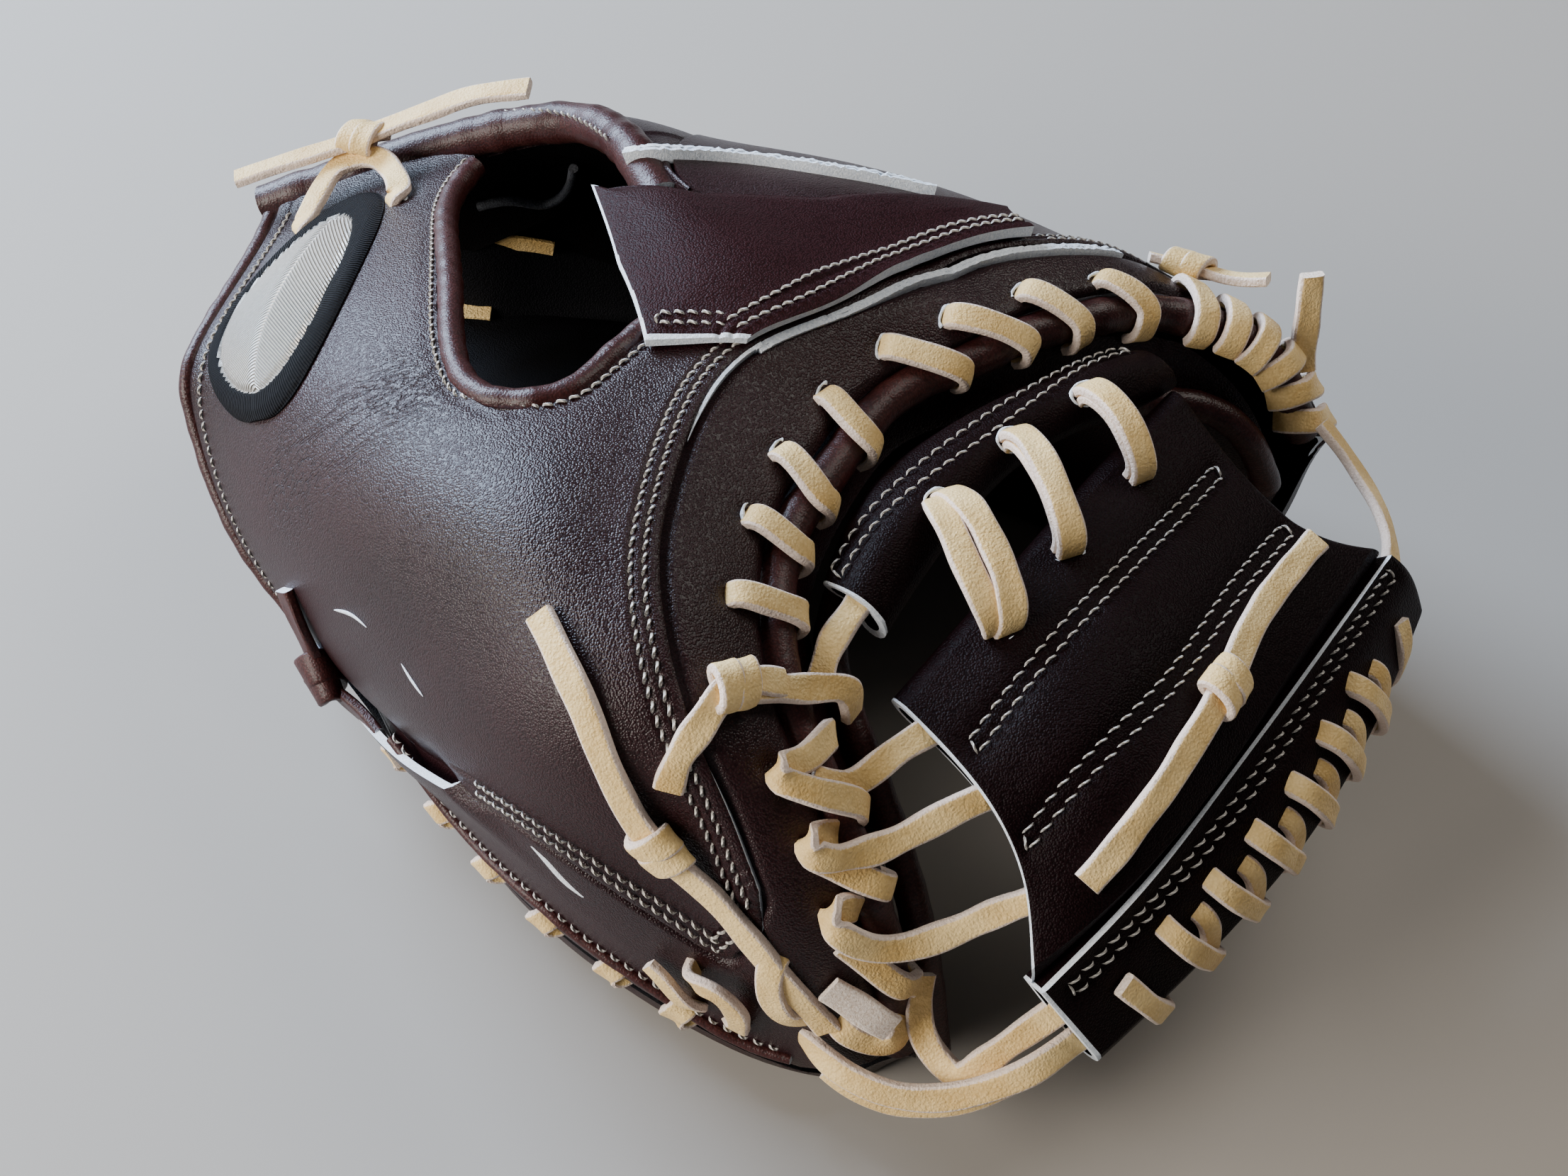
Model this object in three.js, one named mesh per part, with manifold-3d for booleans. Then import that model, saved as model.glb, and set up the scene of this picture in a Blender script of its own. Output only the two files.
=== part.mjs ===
// Catcher's mitt for the left hand, lying palm down: padded palm, hand back and wrist strap,
// finger back with its flap, rolled bindings, a three piece web, and rawhide lacing.
// Millimetres, +Z up. The tables are written about a point on the floor under the crotch, where
// thumb and fingers part. +X runs from the wrist to the web, +Y from the thumb to the fingers.

import * as THREE from "three";
import Module from "manifold-3d";

// Driving dimensions
const crotchPlace = [33.26, -25.71];
const leather = 2.8;
const rimRise = 1.6;
const rimDepth = 1.4;
const rimSeam = 0.25;
const rollGap = 1.9;
const rimWidth = 14.6;
const edgeHole = 6.5;
const panelSeam = 0.257;
const flapRise = [0.9, 3.7];
const clearance = 0.3;
const crotchRollRadius = 4.3;
const rollDrop = 1.2;
const palmRollRadius = 3.6;
const heelRollRadius = 5.2;
const bindingRadius = 2.5;
const pipingRadius = 2.1;
const heelWall = 7;
const strapEnd = 8.0;
const webHalf = 3.4;
const webWall = 2.2;
const laceWidth = 6;
const laceThick = 2.4;
const windingWidth = 5.2;
const webLoopWidth = 8;
const laceDip = 0.9;
const laceLift = laceThick / 2 + 0.55;
const knotWidth = 9;
const knotRadii = [4.4, 2.6];
const knotSides = 8;
const knotRise = 4.4;
const patchThick = 1.2;
const patchLift = 0.8;

// Back of the mitt. Each row is a section from the crotch roll (at the crotch side) out to the edge.
const backRows = [
  { at: "thumb tip", roll: [68, -65, 24], seam: [64, -71, 26], crown: [59, -73, 22], flank: [55, -73, 17],
    edge: [49, -73, 12] },
  { at: "thumb end", roll: [61, -62, 56], seam: [46, -76, 64], crown: [39, -79, 47], flank: [33, -79, 29],
    edge: [26, -78, 16] },
  { at: "thumb middle", roll: [47, -56, 80], seam: [31, -71, 89], crown: [15, -81, 72], flank: [-2, -83, 44],
    edge: [-19, -75, 18] },
  { at: "thumb root", roll: [29, -46, 96], seam: [16, -65, 107], crown: [-4, -81, 96], flank: [-36, -78, 57],
    edge: [-64, -62, 22] },
  { at: "thumb heel", roll: [16, -31, 104], seam: [0, -49, 117], crown: [-25, -69, 109], flank: [-67, -67, 68],
    edge: [-103, -50, 34] },
  { at: "lower hand", roll: [9, -14, 108], seam: [-10, -31, 120], crown: [-37, -51, 121], flank: [-82, -56, 93],
    edge: [-131, -44, 52] },
  { at: "hand", roll: [8, 3, 110], seam: [-18, -6, 122], crown: [-49, -21, 123], flank: [-101, -32, 107],
    edge: [-151, -32, 72] },
  { at: "strap", roll: [8, 28, 111], seam: [-17, 16, 123], crown: [-54, 11, 124], flank: [-123, 11, 105],
    edge: [-160, -14, 84] },
  { at: "strap end", roll: [16, 47, 111], seam: [-8, 36, 122], crown: [-55, 34, 126], flank: [-135, 62, 98],
    edge: [-179, 33, 82] },
  { at: "heel roll", roll: [21, 58, 111], seam: [-2, 52, 120], crown: [-62, 51, 124], flank: [-117, 79, 108],
    edge: [-193, 43, 74] },
  { at: "heel side", roll: [25, 67, 110], seam: [4, 65, 117.5], crown: [-52, 67, 120], flank: [-99, 101, 92],
    edge: [-180, 78, 36] },
  { at: "finger root", roll: [31, 78, 108], seam: [13, 80, 115], crown: [-32, 84, 116], flank: [-66, 117, 84],
    edge: [-132, 108, 14] },
  { at: "fingers", roll: [40, 92, 104], seam: [28, 98, 108], crown: [3, 105, 105], flank: [-20, 128, 76],
    edge: [-66, 127, 14] },
  { at: "finger middle", roll: [52, 102, 99], seam: [46, 109, 97], crown: [37, 119, 88], flank: [27, 131, 62],
    edge: [2, 135, 14] },
  { at: "finger end", roll: [68, 107, 90], seam: [65, 115, 86], crown: [59, 123, 74], flank: [52, 130, 48],
    edge: [44, 131, 14] },
  { at: "finger tip", roll: [79, 111, 66], seam: [81, 119, 59], crown: [79, 122, 47], flank: [77, 121, 31],
    edge: [72, 119, 12] },
];

// Palm side of the padding, section by section with the back: from the palm roll over the vault of
// the pocket, down its slope to the floor, and out to the laced rim. Pad is the padding's thickness.
const palmRows = [
  { roll: [70, -60, 14], vault: [66, -58, 8], slope: [62, -60, 4], floor: [57, -64, 0], rim: [49, -71, 5], pad: 6 },
  { roll: [62, -54, 42], vault: [56, -50, 28], slope: [50, -52, 12], floor: [40, -60, 0], rim: [27, -75, 5], pad: 14 },
  { roll: [50, -46, 64], vault: [40, -36, 48], slope: [28, -38, 18], floor: [10, -52, 0], rim: [-17, -72, 5], pad: 24 },
  { roll: [33, -36, 82], vault: [18, -22, 66], slope: [-4, -22, 28], floor: [-30, -38, 0], rim: [-61, -58, 6], pad: 30 },
  { roll: [20, -24, 90], vault: [0, -8, 76], slope: [-35, -6, 36], floor: [-75, -20, 0], rim: [-100, -45, 18], pad: 28 },
  { roll: [15, -9, 94], vault: [-10, 6, 80], slope: [-60, 6, 40], floor: [-108, 0, 0], rim: [-136, -28, 22], pad: 26 },
  { roll: [13, 6, 96], vault: [-14, 18, 82], slope: [-74, 18, 42], floor: [-128, 14, 0], rim: [-162, 0, 26], pad: 24 },
  { roll: [13, 28, 97], vault: [-16, 34, 82], slope: [-80, 34, 44], floor: [-140, 36, 0], rim: [-176, 24, 28], pad: 24 },
  { roll: [20, 44, 97], vault: [-10, 42, 82], slope: [-78, 48, 44], floor: [-146, 54, 0], rim: [-182, 50, 26], pad: 24 },
  { roll: [24, 52, 97], vault: [-4, 50, 81], slope: [-70, 60, 43], floor: [-138, 70, 0], rim: [-175, 74, 22], pad: 26 },
  { roll: [28, 60, 96], vault: [4, 58, 79], slope: [-58, 70, 40], floor: [-128, 80, 0], rim: [-166, 86, 16], pad: 28 },
  { roll: [33, 70, 93], vault: [14, 66, 76], slope: [-40, 80, 36], floor: [-108, 92, 0], rim: [-130, 105, 5], pad: 30 },
  { roll: [43, 84, 89], vault: [28, 78, 70], slope: [-10, 92, 32], floor: [-58, 104, 0], rim: [-66, 123, 5], pad: 30 },
  { roll: [55, 94, 83], vault: [44, 88, 60], slope: [24, 98, 28], floor: [2, 110, 0], rim: [2, 131, 5], pad: 26 },
  { roll: [68, 99, 73], vault: [58, 95, 50], slope: [50, 103, 24], floor: [44, 110, 0], rim: [45, 127, 5], pad: 18 },
  { roll: [77, 104, 52], vault: [72, 103, 38], slope: [70, 107, 20], floor: [68, 110, 2], rim: [71, 115, 6], pad: 6 },
];

// The padding thins towards the roll and the rim, by these shares of a row's pad
const padShares = [[0.45], [0.8], [1], [1], [0.35]];

// Web. Rows run from the thumb side to the finger side, columns from the crotch outwards.
const stripRows = [
  { inner: [19, -17, 98], middle: [28, -20, 101], outer: [34, -20, 94] },
  { inner: [15, 6, 102], middle: [27, 3, 107], outer: [34, 7, 99] },
  { inner: [21, 31, 104], middle: [32, 34, 108], outer: [37, 39, 100] },
  { inner: [33, 59, 103], middle: [42, 62, 105], outer: [48, 63, 98] },
  { inner: [41, 79, 99], middle: [48, 79, 99], outer: [53, 80, 95] },
];
const panelRows = [
  { inner: [42, -29, 88], middle: [68, -37, 83], outer: [84, -45, 70], under: [91.6, -56.7, 60] },
  { inner: [46, -8, 94], middle: [70, -18, 92], outer: [90, -26, 84], under: [99.7, -31.3, 70.4] },
  { inner: [49, 16, 97], middle: [72, 6, 96], outer: [94, 0, 88], under: [104.5, -3, 76.4] },
  { inner: [51, 45, 98], middle: [73, 36, 94], outer: [93, 30, 88], under: [107.4, 31.1, 79.1] },
  { inner: [54, 75, 98], middle: [73, 66, 91], outer: [94, 62, 84], under: [109.6, 72.7, 77] },
];
const edgeRows = [
  { inner: [92, -57, 60], middle: [99, -55, 49], outer: [106, -53, 38] },
  { inner: [100, -31, 70], middle: [108, -24, 59], outer: [116, -17, 44] },
  { inner: [105, -3, 76], middle: [115, 6, 66], outer: [121, 15, 49] },
  { inner: [108, 31, 79], middle: [116, 39, 69], outer: [122, 46, 53] },
  { inner: [110, 73, 77], middle: [115, 76, 70], outer: [120, 77, 58] },
];

// Outline of the hand opening on the back: at each station along, its crotch side and its strap side
const openingRows = [
  { along: 5.86, near: 0.52, far: 0.55 },
  { along: 5.95, near: 0.475, far: 0.585 },
  { along: 6.1, near: 0.45, far: 0.613 },
  { along: 6.4, near: 0.433, far: 0.641 },
  { along: 6.8, near: 0.42, far: 0.668 },
  { along: 7.2, near: 0.42, far: 0.7 },
  { along: 7.63, near: 0.43, far: 0.735 },
  { along: 8.2, near: 0.45, far: 0.748 },
];

// Flap over the finger back: its stitched side along the seam, and its far side
const flapRows = [
  { seam: [6.83, 0.268], far: [6.54, 0.406] },
  { seam: [7.5, 0.268], far: [7.29, 0.511] },
  { seam: [8.3, 0.268], far: [8.02, 0.585] },
  { seam: [9.2, 0.268], far: [9.1, 0.474] },
  { seam: [10.2, 0.268], far: [10.32, 0.44] },
  { seam: [11.3, 0.3], far: [11.79, 0.466] },
];

const finishes = {
  leather: { color: 0x2a1a1c, roughness: 0.42, metalness: 0 },
  lining: { color: 0x1c1414, roughness: 0.8, metalness: 0 },
  binding: { color: 0x3a1e1a, roughness: 0.4, metalness: 0 },
  web: { color: 0x241518, roughness: 0.5, metalness: 0 },
  lace: { color: 0xd9bd8e, roughness: 0.8, metalness: 0 },
  patch: { color: 0xb9b4ac, roughness: 0.6, metalness: 0 },
};

const wasm = await Module();
wasm.setup();

const vector = (point) => new THREE.Vector3(...point);
const mix = (a, b, share) => a + (b - a) * share;

// A natural cubic spline through equally spaced points of any dimension
function naturalSpline(points) {
  const last = points.length - 1;
  const bends = points.map((point) => point.map(() => 0));
  const factor = new Array(last + 1).fill(0);
  for (let i = 1; i < last; i += 1) {
    const pivot = 4 - factor[i - 1];
    factor[i] = 1 / pivot;
    bends[i] = bends[i].map((_, axis) => {
      const bend = 6 * (points[i + 1][axis] - 2 * points[i][axis] + points[i - 1][axis]);
      return (bend - bends[i - 1][axis]) / pivot;
    });
  }
  for (let i = last - 1; i > 0; i -= 1) {
    bends[i] = bends[i].map((bend, axis) => bend - factor[i] * bends[i + 1][axis]);
  }
  return (place) => {
    const i = Math.min(Math.max(Math.floor(place), 0), last - 1);
    const b = place - i;
    const a = 1 - b;
    return points[i].map((start, axis) => (
      a * start + b * points[i + 1][axis]
      + ((a ** 3 - a) * bends[i][axis] + (b ** 3 - b) * bends[i + 1][axis]) / 6
    ));
  };
}

// A surface through rows of guide points: along counts rows, across runs 0 to 1 over the columns.
// The upward normal of a row table needs facing = 1 or -1.
function surface(rows, columns, facing) {
  const guides = columns.map((column) => naturalSpline(rows.map((row) => row[column])));
  const at = (along, across) => {
    const section = naturalSpline(guides.map((guide) => guide(along)));
    return vector(section(across * (columns.length - 1)));
  };
  const step = 0.002;
  const normal = (along, across) => {
    const forth = at(along + step, across).sub(at(along - step, across));
    const out = at(along, across + step).sub(at(along, across - step));
    return forth.cross(out).normalize().multiplyScalar(facing);
  };
  return { at, normal };
}

const back = surface(backRows, ["roll", "seam", "crown", "flank", "edge"], 1);
const palmGuide = surface(palmRows, ["roll", "vault", "slope", "floor", "rim"], 1);
const strip = surface(stripRows, ["inner", "middle", "outer"], -1);
const panel = surface(panelRows, ["inner", "middle", "outer", "under"], -1);
const edge = surface(edgeRows, ["inner", "middle", "outer"], -1);
const webRowSpan = stripRows.length - 1;

// The palm face, flattened where it meets the floor
function palmFace(along, across) {
  const point = palmGuide.at(along, across);
  point.z = Math.max(point.z, 0);
  return point;
}

// A point raised off a surface, with the normal there, as a stop of a lace's route
function raised(sheet, along, across, height) {
  const normal = sheet.normal(along, across);
  return { point: sheet.at(along, across).addScaledVector(normal, height), normal };
}
const onBack = (along, across, height) => raised(back, along, across, height);
const onStrip = (along, across, height) => raised(strip, along * webRowSpan, across, height);
const onPanel = (along, across, height) => raised(panel, along * webRowSpan, across, height);
const onEdge = (along, across, height) => raised(edge, along * webRowSpan, across, height);
const free = (point, normal = [0, 0, 1]) => ({ point: vector(point), normal: vector(normal).normalize() });

// A closed solid from its vertices and triangles, turned the right way out
function solidOf(points, triangles) {
  let volume = 0;
  for (const [a, b, c] of triangles) {
    volume += points[a].dot(points[b].clone().cross(points[c]));
  }
  const faces = volume < 0 ? triangles.map(([a, b, c]) => [a, c, b]) : triangles;
  const mesh = new wasm.Mesh({
    numProp: 3,
    vertProperties: new Float32Array(points.flatMap((point) => point.toArray())),
    triVerts: new Uint32Array(faces.flat()),
  });
  return new wasm.Manifold(mesh);
}

// Two grids of points, top and bottom, closed round their edges. Each is placed by place(a, b, side)
// with a and b from 0 to 1, and side 1 on top or 0 below.
function slab(stepsA, stepsB, place) {
  const points = [];
  const triangles = [];
  const index = (i, j, side) => ((1 - side) * (stepsA + 1) + i) * (stepsB + 1) + j;
  for (const side of [1, 0]) {
    for (let i = 0; i <= stepsA; i += 1) {
      for (let j = 0; j <= stepsB; j += 1) {
        points.push(place(i / stepsA, j / stepsB, side));
      }
    }
  }
  const quad = (a, b, c, d) => triangles.push([a, b, c], [a, c, d]);
  for (let i = 0; i < stepsA; i += 1) {
    for (let j = 0; j < stepsB; j += 1) {
      quad(index(i, j, 1), index(i + 1, j, 1), index(i + 1, j + 1, 1), index(i, j + 1, 1));
      quad(index(i, j, 0), index(i, j + 1, 0), index(i + 1, j + 1, 0), index(i + 1, j, 0));
    }
    quad(index(i, 0, 0), index(i + 1, 0, 0), index(i + 1, 0, 1), index(i, 0, 1));
    quad(index(i, stepsB, 1), index(i + 1, stepsB, 1), index(i + 1, stepsB, 0), index(i, stepsB, 0));
  }
  for (let j = 0; j < stepsB; j += 1) {
    quad(index(0, j, 1), index(0, j + 1, 1), index(0, j + 1, 0), index(0, j, 0));
    quad(index(stepsA, j, 0), index(stepsA, j + 1, 0), index(stepsA, j + 1, 1), index(stepsA, j, 1));
  }
  return solidOf(points, triangles);
}

// A stop list as a smooth route, with a few samples between each two stops
function route(stops, samples) {
  const run = naturalSpline(stops.map((stop) => [...stop.point.toArray(), ...stop.normal.toArray()]));
  const count = (stops.length - 1) * samples;
  return Array.from({ length: count + 1 }, (_, i) => {
    const [x, y, z, ...normal] = run(i / samples);
    return { point: vector([x, y, z]), normal: vector(normal) };
  });
}

// The same route made longer at both ends
function lengthened(path, extra) {
  const last = path.length - 1;
  for (const [end, next] of [[0, 1], [last, last - 1]]) {
    path[end].point.add(path[end].point.clone().sub(path[next].point).setLength(extra));
  }
  return path;
}

// A section of [side, height] corners carried along a route, with flat ends or joined up in a ring
function sweep(path, section, ring = false) {
  const count = path.length;
  const points = path.flatMap(({ point, normal }, i) => {
    const before = path[ring ? (i + count - 1) % count : Math.max(i - 1, 0)].point;
    const after = path[ring ? (i + 1) % count : Math.min(i + 1, count - 1)].point;
    const side = after.clone().sub(before).cross(normal).normalize();
    const up = side.clone().cross(after.clone().sub(before)).normalize();
    return section.map(([a, b]) => point.clone().addScaledVector(side, a).addScaledVector(up, b));
  });
  const size = section.length;
  const triangles = [];
  const spans = ring ? count : count - 1;
  for (let i = 0; i < spans; i += 1) {
    const here = i * size;
    const next = ((i + 1) % count) * size;
    for (let k = 0; k < size; k += 1) {
      const m = (k + 1) % size;
      triangles.push([here + k, here + m, next + m], [here + k, next + m, next + k]);
    }
  }
  if (!ring) {
    const end = (count - 1) * size;
    for (let k = 1; k < size - 1; k += 1) {
      triangles.push([0, k + 1, k], [end, end + k, end + k + 1]);
    }
  }
  return solidOf(points, triangles);
}

const flat = (width, thick) => {
  const a = width / 2;
  const b = thick / 2;
  return [[-a, -b], [a, -b], [a, b], [-a, b]];
};
const round = (radius, sides) => Array.from({ length: sides }, (_, k) => {
  const turn = (2 * Math.PI * (k + 0.5)) / sides;
  return [radius * Math.cos(turn), radius * Math.sin(turn)];
});

// A leather sheet on a surface: domain(a, b) gives along and across, from bottom to top height
function sheetOn(sheet, steps, domain, bottom, top, grow) {
  return slab(steps[0], steps[1], (a, b, side) => {
    const [along, across] = domain(a, b, grow);
    const height = side ? top + grow : bottom - grow;
    return raised(sheet, along, across, height).point;
  });
}

// A folded strip or a tube pressed flat and open at both ends, with a fold along each side
function pressedTube(sheet, stations, columns, grow, hollow = true) {
  const layers = grow > 0 || !hollow ? [0] : [0, webWall];
  const ring = (along, inset) => {
    const half = webHalf - inset + grow;
    const width = sheet.at(along, 1).distanceTo(sheet.at(along, 0));
    const margin = (inset - grow) / width;
    const nose = half / width;
    const across = (b) => mix(margin + nose, 1 - margin - nose, b);
    const tops = Array.from({ length: columns + 1 }, (_, k) => [across(k / columns), half]);
    const bottoms = tops.map(([share, height]) => [share, -height]).reverse();
    return [...tops, [1 - margin, 0], ...bottoms, [margin, 0]].map(([share, height]) => (
      raised(sheet, along, share, height).point
    ));
  };
  const size = 2 * columns + 4;
  const points = [];
  for (const inset of layers) {
    for (let i = 0; i <= stations; i += 1) {
      points.push(...ring(mix(-grow / 50, webRowSpan + grow / 50, i / stations), inset));
    }
  }
  const triangles = [];
  const quad = (a, b, c, d) => triangles.push([a, b, c], [a, c, d]);
  const index = (layer, i, k) => (layer * (stations + 1) + i) * size + (k % size);
  for (let i = 0; i < stations; i += 1) {
    for (let k = 0; k < size; k += 1) {
      quad(index(0, i, k), index(0, i, k + 1), index(0, i + 1, k + 1), index(0, i + 1, k));
      if (layers.length > 1) {
        quad(index(1, i, k), index(1, i + 1, k), index(1, i + 1, k + 1), index(1, i, k + 1));
      }
    }
  }
  if (layers.length > 1) {
    for (let k = 0; k < size; k += 1) {
      quad(index(0, 0, k), index(1, 0, k), index(1, 0, k + 1), index(0, 0, k + 1));
      quad(index(0, stations, k), index(0, stations, k + 1), index(1, stations, k + 1), index(1, stations, k));
    }
  } else {
    for (let k = 1; k < size - 1; k += 1) {
      triangles.push([index(0, 0, 0), index(0, 0, k + 1), index(0, 0, k)]);
      triangles.push([index(0, stations, 0), index(0, stations, k), index(0, stations, k + 1)]);
    }
  }
  return solidOf(points, triangles);
}

// Leather panels

const openingSpline = naturalSpline(openingRows.map((row) => [row.along, row.near, row.far]));

function openingCutter() {
  const depth = 9;
  return slab(14, 3, (a, b, side) => {
    const [along, near, far] = openingSpline(a * (openingRows.length - 1));
    return raised(back, along, mix(near, far, b), side ? depth : -depth).point;
  });
}

function handBack(grow) {
  const domain = (a, b) => [mix(0.06, strapEnd, a), mix(panelSeam, 0.995, b)];
  const whole = sheetOn(back, [18, 6], domain, -leather, 0, grow);
  return whole.subtract(openingCutter());
}

// Share of the way across at a distance from the middle of the crotch roll
function offRoll(along, distance) {
  const probe = 0.1;
  return (probe * distance) / back.at(along, probe).distanceTo(back.at(along, 0));
}

function rimPanel(grow) {
  const domain = (a, b) => {
    const along = mix(0.02, 14.94, a);
    const start = offRoll(along, crotchRollRadius + rollGap);
    return [along, mix(start, Math.max(rimSeam, offRoll(along, rimWidth)), b)];
  };
  return sheetOn(back, [30, 2], domain, -rimDepth, rimRise, grow);
}

// The finger back starts behind the heel wall, further along towards its edge
const fingerStart = (across) => 9.3 + 0.9 * THREE.MathUtils.smoothstep(across, 0.5, 0.74);

function fingerBack(grow) {
  const domain = (a, b) => {
    const along = mix(fingerStart(mix(panelSeam, 0.995, b)), 14.96, a);
    return [along, mix(Math.max(panelSeam, offRoll(along, rimWidth + 0.4)), 0.995, b)];
  };
  return sheetOn(back, [11, 6], domain, -leather, 0, grow);
}

function heelSide(grow) {
  const domain = (a, b) => {
    const across = mix(0.63, 0.99, b);
    return [mix(9.2, fingerStart(across) - 0.03, a), across];
  };
  return sheetOn(back, [3, 6], domain, -heelWall, 0, grow);
}

const flapSpline = naturalSpline(flapRows.map((row) => [...row.seam, ...row.far]));

function indexFlap(grow) {
  const domain = (a, b) => {
    const [seamAlong, seamAcross, farAlong, farAcross] = flapSpline(a * (flapRows.length - 1));
    return [mix(seamAlong, farAlong, b), mix(seamAcross, farAcross, b)];
  };
  return sheetOn(back, [10, 3], domain, flapRise[0], flapRise[1], grow);
}

// The padded palm hangs below the back by the leather's thickness, and leaves the hand hollow open
const padSpline = naturalSpline(palmRows.map((row) => [row.pad]));
const padShare = naturalSpline(padShares);

function palmPad(grow) {
  return slab(22, 8, (a, share, side) => {
    const along = mix(0.03, 14.97, a);
    const b = mix(0.05, 1, share);
    const low = palmFace(along, b);
    if (!side) {
      return low;
    }
    const reach = back.at(along, b).sub(low);
    const room = reach.length();
    const rimGap = leather + clearance + (laceThick + 2 * clearance) * THREE.MathUtils.smoothstep(b, 0.75, 0.88);
    const underRoll = (crotchRollRadius + 2 * rollDrop) * Math.max(0, 1 - b / 0.2);
    const spare = rimGap + grow + underRoll;
    const pad = padSpline(along)[0] * padShare(b * (padShares.length - 1))[0];
    return low.addScaledVector(reach, Math.max(Math.min(pad, room - spare), 2) / room);
  });
}

// Rolls, bindings and piping

const tube = (stops, radius, sides, grow) => (
  sweep(lengthened(route(stops, 1), grow), round(radius + grow, sides))
);
const span = (from, to, count, stop) => (
  Array.from({ length: count + 1 }, (_, i) => stop(mix(from, to, i / count)))
);

// The direction out of the crotch roll towards the web
const towardsWeb = (along) => back.at(along, 0).sub(back.at(along, 0.03)).normalize();

function crotchRoll(grow) {
  const stops = span(0.05, 14.9, 28, (along) => onBack(along, 0, -rollDrop));
  return tube(stops, crotchRollRadius, 7, grow);
}

function palmRoll(grow) {
  const stops = span(0.1, 14.8, 20, (along) => {
    const point = palmFace(along, 0).addScaledVector(towardsWeb(along), palmRollRadius + 1.2);
    return { point, normal: back.normal(along, 0) };
  });
  return tube(stops, palmRollRadius, 6, grow);
}

function heelRoll(grow) {
  const stops = span(0.53, 1.0, 13, (across) => (
    onBack(8.98, across, -3 - 50 * Math.max(0, 0.6 - across))
  ));
  return tube(stops, heelRollRadius, 8, grow);
}

function openingBinding(grow) {
  const strapSide = [7, 6, 5, 4, 3, 2, 1, 0].map((row) => [openingRows[row].along, openingRows[row].far]);
  const crotchSide = [0, 1, 2, 3, 4].map((row) => [openingRows[row].along, openingRows[row].near]);
  strapSide[0] = [7.95, 0.744];
  const middle = back.at(7.2, 0.56);
  const stops = [...strapSide, ...crotchSide].map(([along, across]) => {
    const { point, normal } = onBack(along, across, -leather / 2);
    const inwards = middle.clone().sub(point).normalize();
    return { point: point.addScaledVector(inwards, bindingRadius + 0.9), normal };
  });
  return tube(stops, bindingRadius, 6, grow);
}

function wristPiping(grow) {
  const stops = span(4.15, 7.95, 14, (along) => {
    const { point, normal } = onBack(along, 0.995, -leather / 2);
    const outwards = back.at(along, 1).sub(back.at(along, 0.97)).normalize();
    return { point: point.addScaledVector(outwards, pipingRadius + 0.9), normal };
  });
  return tube(stops, pipingRadius, 6, grow);
}

function strapPatch(grow) {
  const middle = [6.75, 0.86];
  const size = [0.92, 0.1];
  return slab(8, 3, (a, b, side) => {
    const turn = mix(-Math.PI / 2, Math.PI / 2, a);
    const reach = Math.cos(turn) * mix(-1, 1, b);
    const along = middle[0] + size[0] * Math.sin(turn) * 0.98;
    const across = middle[1] + size[1] * (0.12 * mix(-1, 1, b) + 0.88 * reach);
    return raised(back, along, across, side ? patchLift + patchThick + grow : patchLift - grow).point;
  });
}

// Lacing

const ribbon = (stops, grow, samples = 1, width = laceWidth) => (
  sweep(lengthened(route(stops, samples), grow), flat(width + 2 * grow, laceThick + 2 * grow))
);

// A stop on the crotch roll, turned about it from its top (0) towards the web (90 degrees)
function overRoll(along, degrees) {
  const { point, normal } = onBack(along, 0, -rollDrop);
  const turn = THREE.MathUtils.degToRad(degrees);
  const away = normal.clone().multiplyScalar(Math.cos(turn))
    .addScaledVector(towardsWeb(along), Math.sin(turn)).normalize();
  return { point: point.addScaledVector(away, crotchRollRadius + laceLift + 0.6), normal: away };
}

// The end of a lace in its hole, straight down under a raised stop, where it bends off along lead
function inHole({ point, normal }, lead) {
  const run = lead.clone().addScaledVector(normal, -lead.dot(normal)).normalize();
  const backwards = run.clone().negate();
  return [
    { point: point.clone().addScaledVector(normal, -laceLift - laceDip), normal: backwards },
    { point: point.clone().addScaledVector(normal, -laceLift + 1.1), normal: backwards.clone().add(normal) },
    { point: point.clone().addScaledVector(run, 2.4).addScaledVector(normal, 0.3), normal },
  ];
}

// A lace end that comes up through a hole in the rim and runs towards the roll
const outOfRim = (along, across) => (
  inHole(onBack(along, across, rimRise + laceLift), towardsWeb(along))
);

// Roll laces: each comes out of its hole in the rim, crosses the roll and goes down behind the web
const rollLaces = {
  rim_lace_1: { hole: [4.95, 0.101], over: 4.62 },
  rim_lace_2: { hole: [5.84, 0.098], over: 5.5 },
  rim_lace_3: { hole: [6.67, 0.093], over: 6.4 },
  rim_lace_4: { hole: [7.63, 0.125], over: 7.7 },
  rim_lace_5: { hole: [8.67, 0.156], over: 9.1 },
  rim_lace_6: { hole: [10.27, 0.162], over: 10.6 },
  rim_lace_7: { hole: [11.46, 0.15], over: 11.8 },
  tip_lace_1: { hole: [12.8, 0.28], over: 12.8 },
  tip_lace_2: { hole: [13.3, 0.27], over: 13.28 },
  tip_lace_3: { hole: [13.72, 0.28], over: 13.68 },
  tip_lace_4: { hole: [14.1, 0.28], over: 14.05 },
  tip_lace_5: { hole: [14.46, 0.3], over: 14.4 },
  tip_lace_6: { hole: [14.78, 0.32], over: 14.73 },
};
const rollLace = ({ hole, over }) => (grow) => {
  const down = overRoll(over, 90);
  return ribbon([
    ...outOfRim(...hole),
    overRoll(over, -10),
    overRoll(over, 35),
    overRoll(over, 75),
    { point: down.point.add(vector([0, 0, -8])), normal: down.normal },
  ], grow);
};

// A stop just short of the web panel's open end
const panelEnd = (across, normal) => (
  { point: onPanel(-0.03, across, 0).point, normal: vector(normal).normalize() }
);

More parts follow.
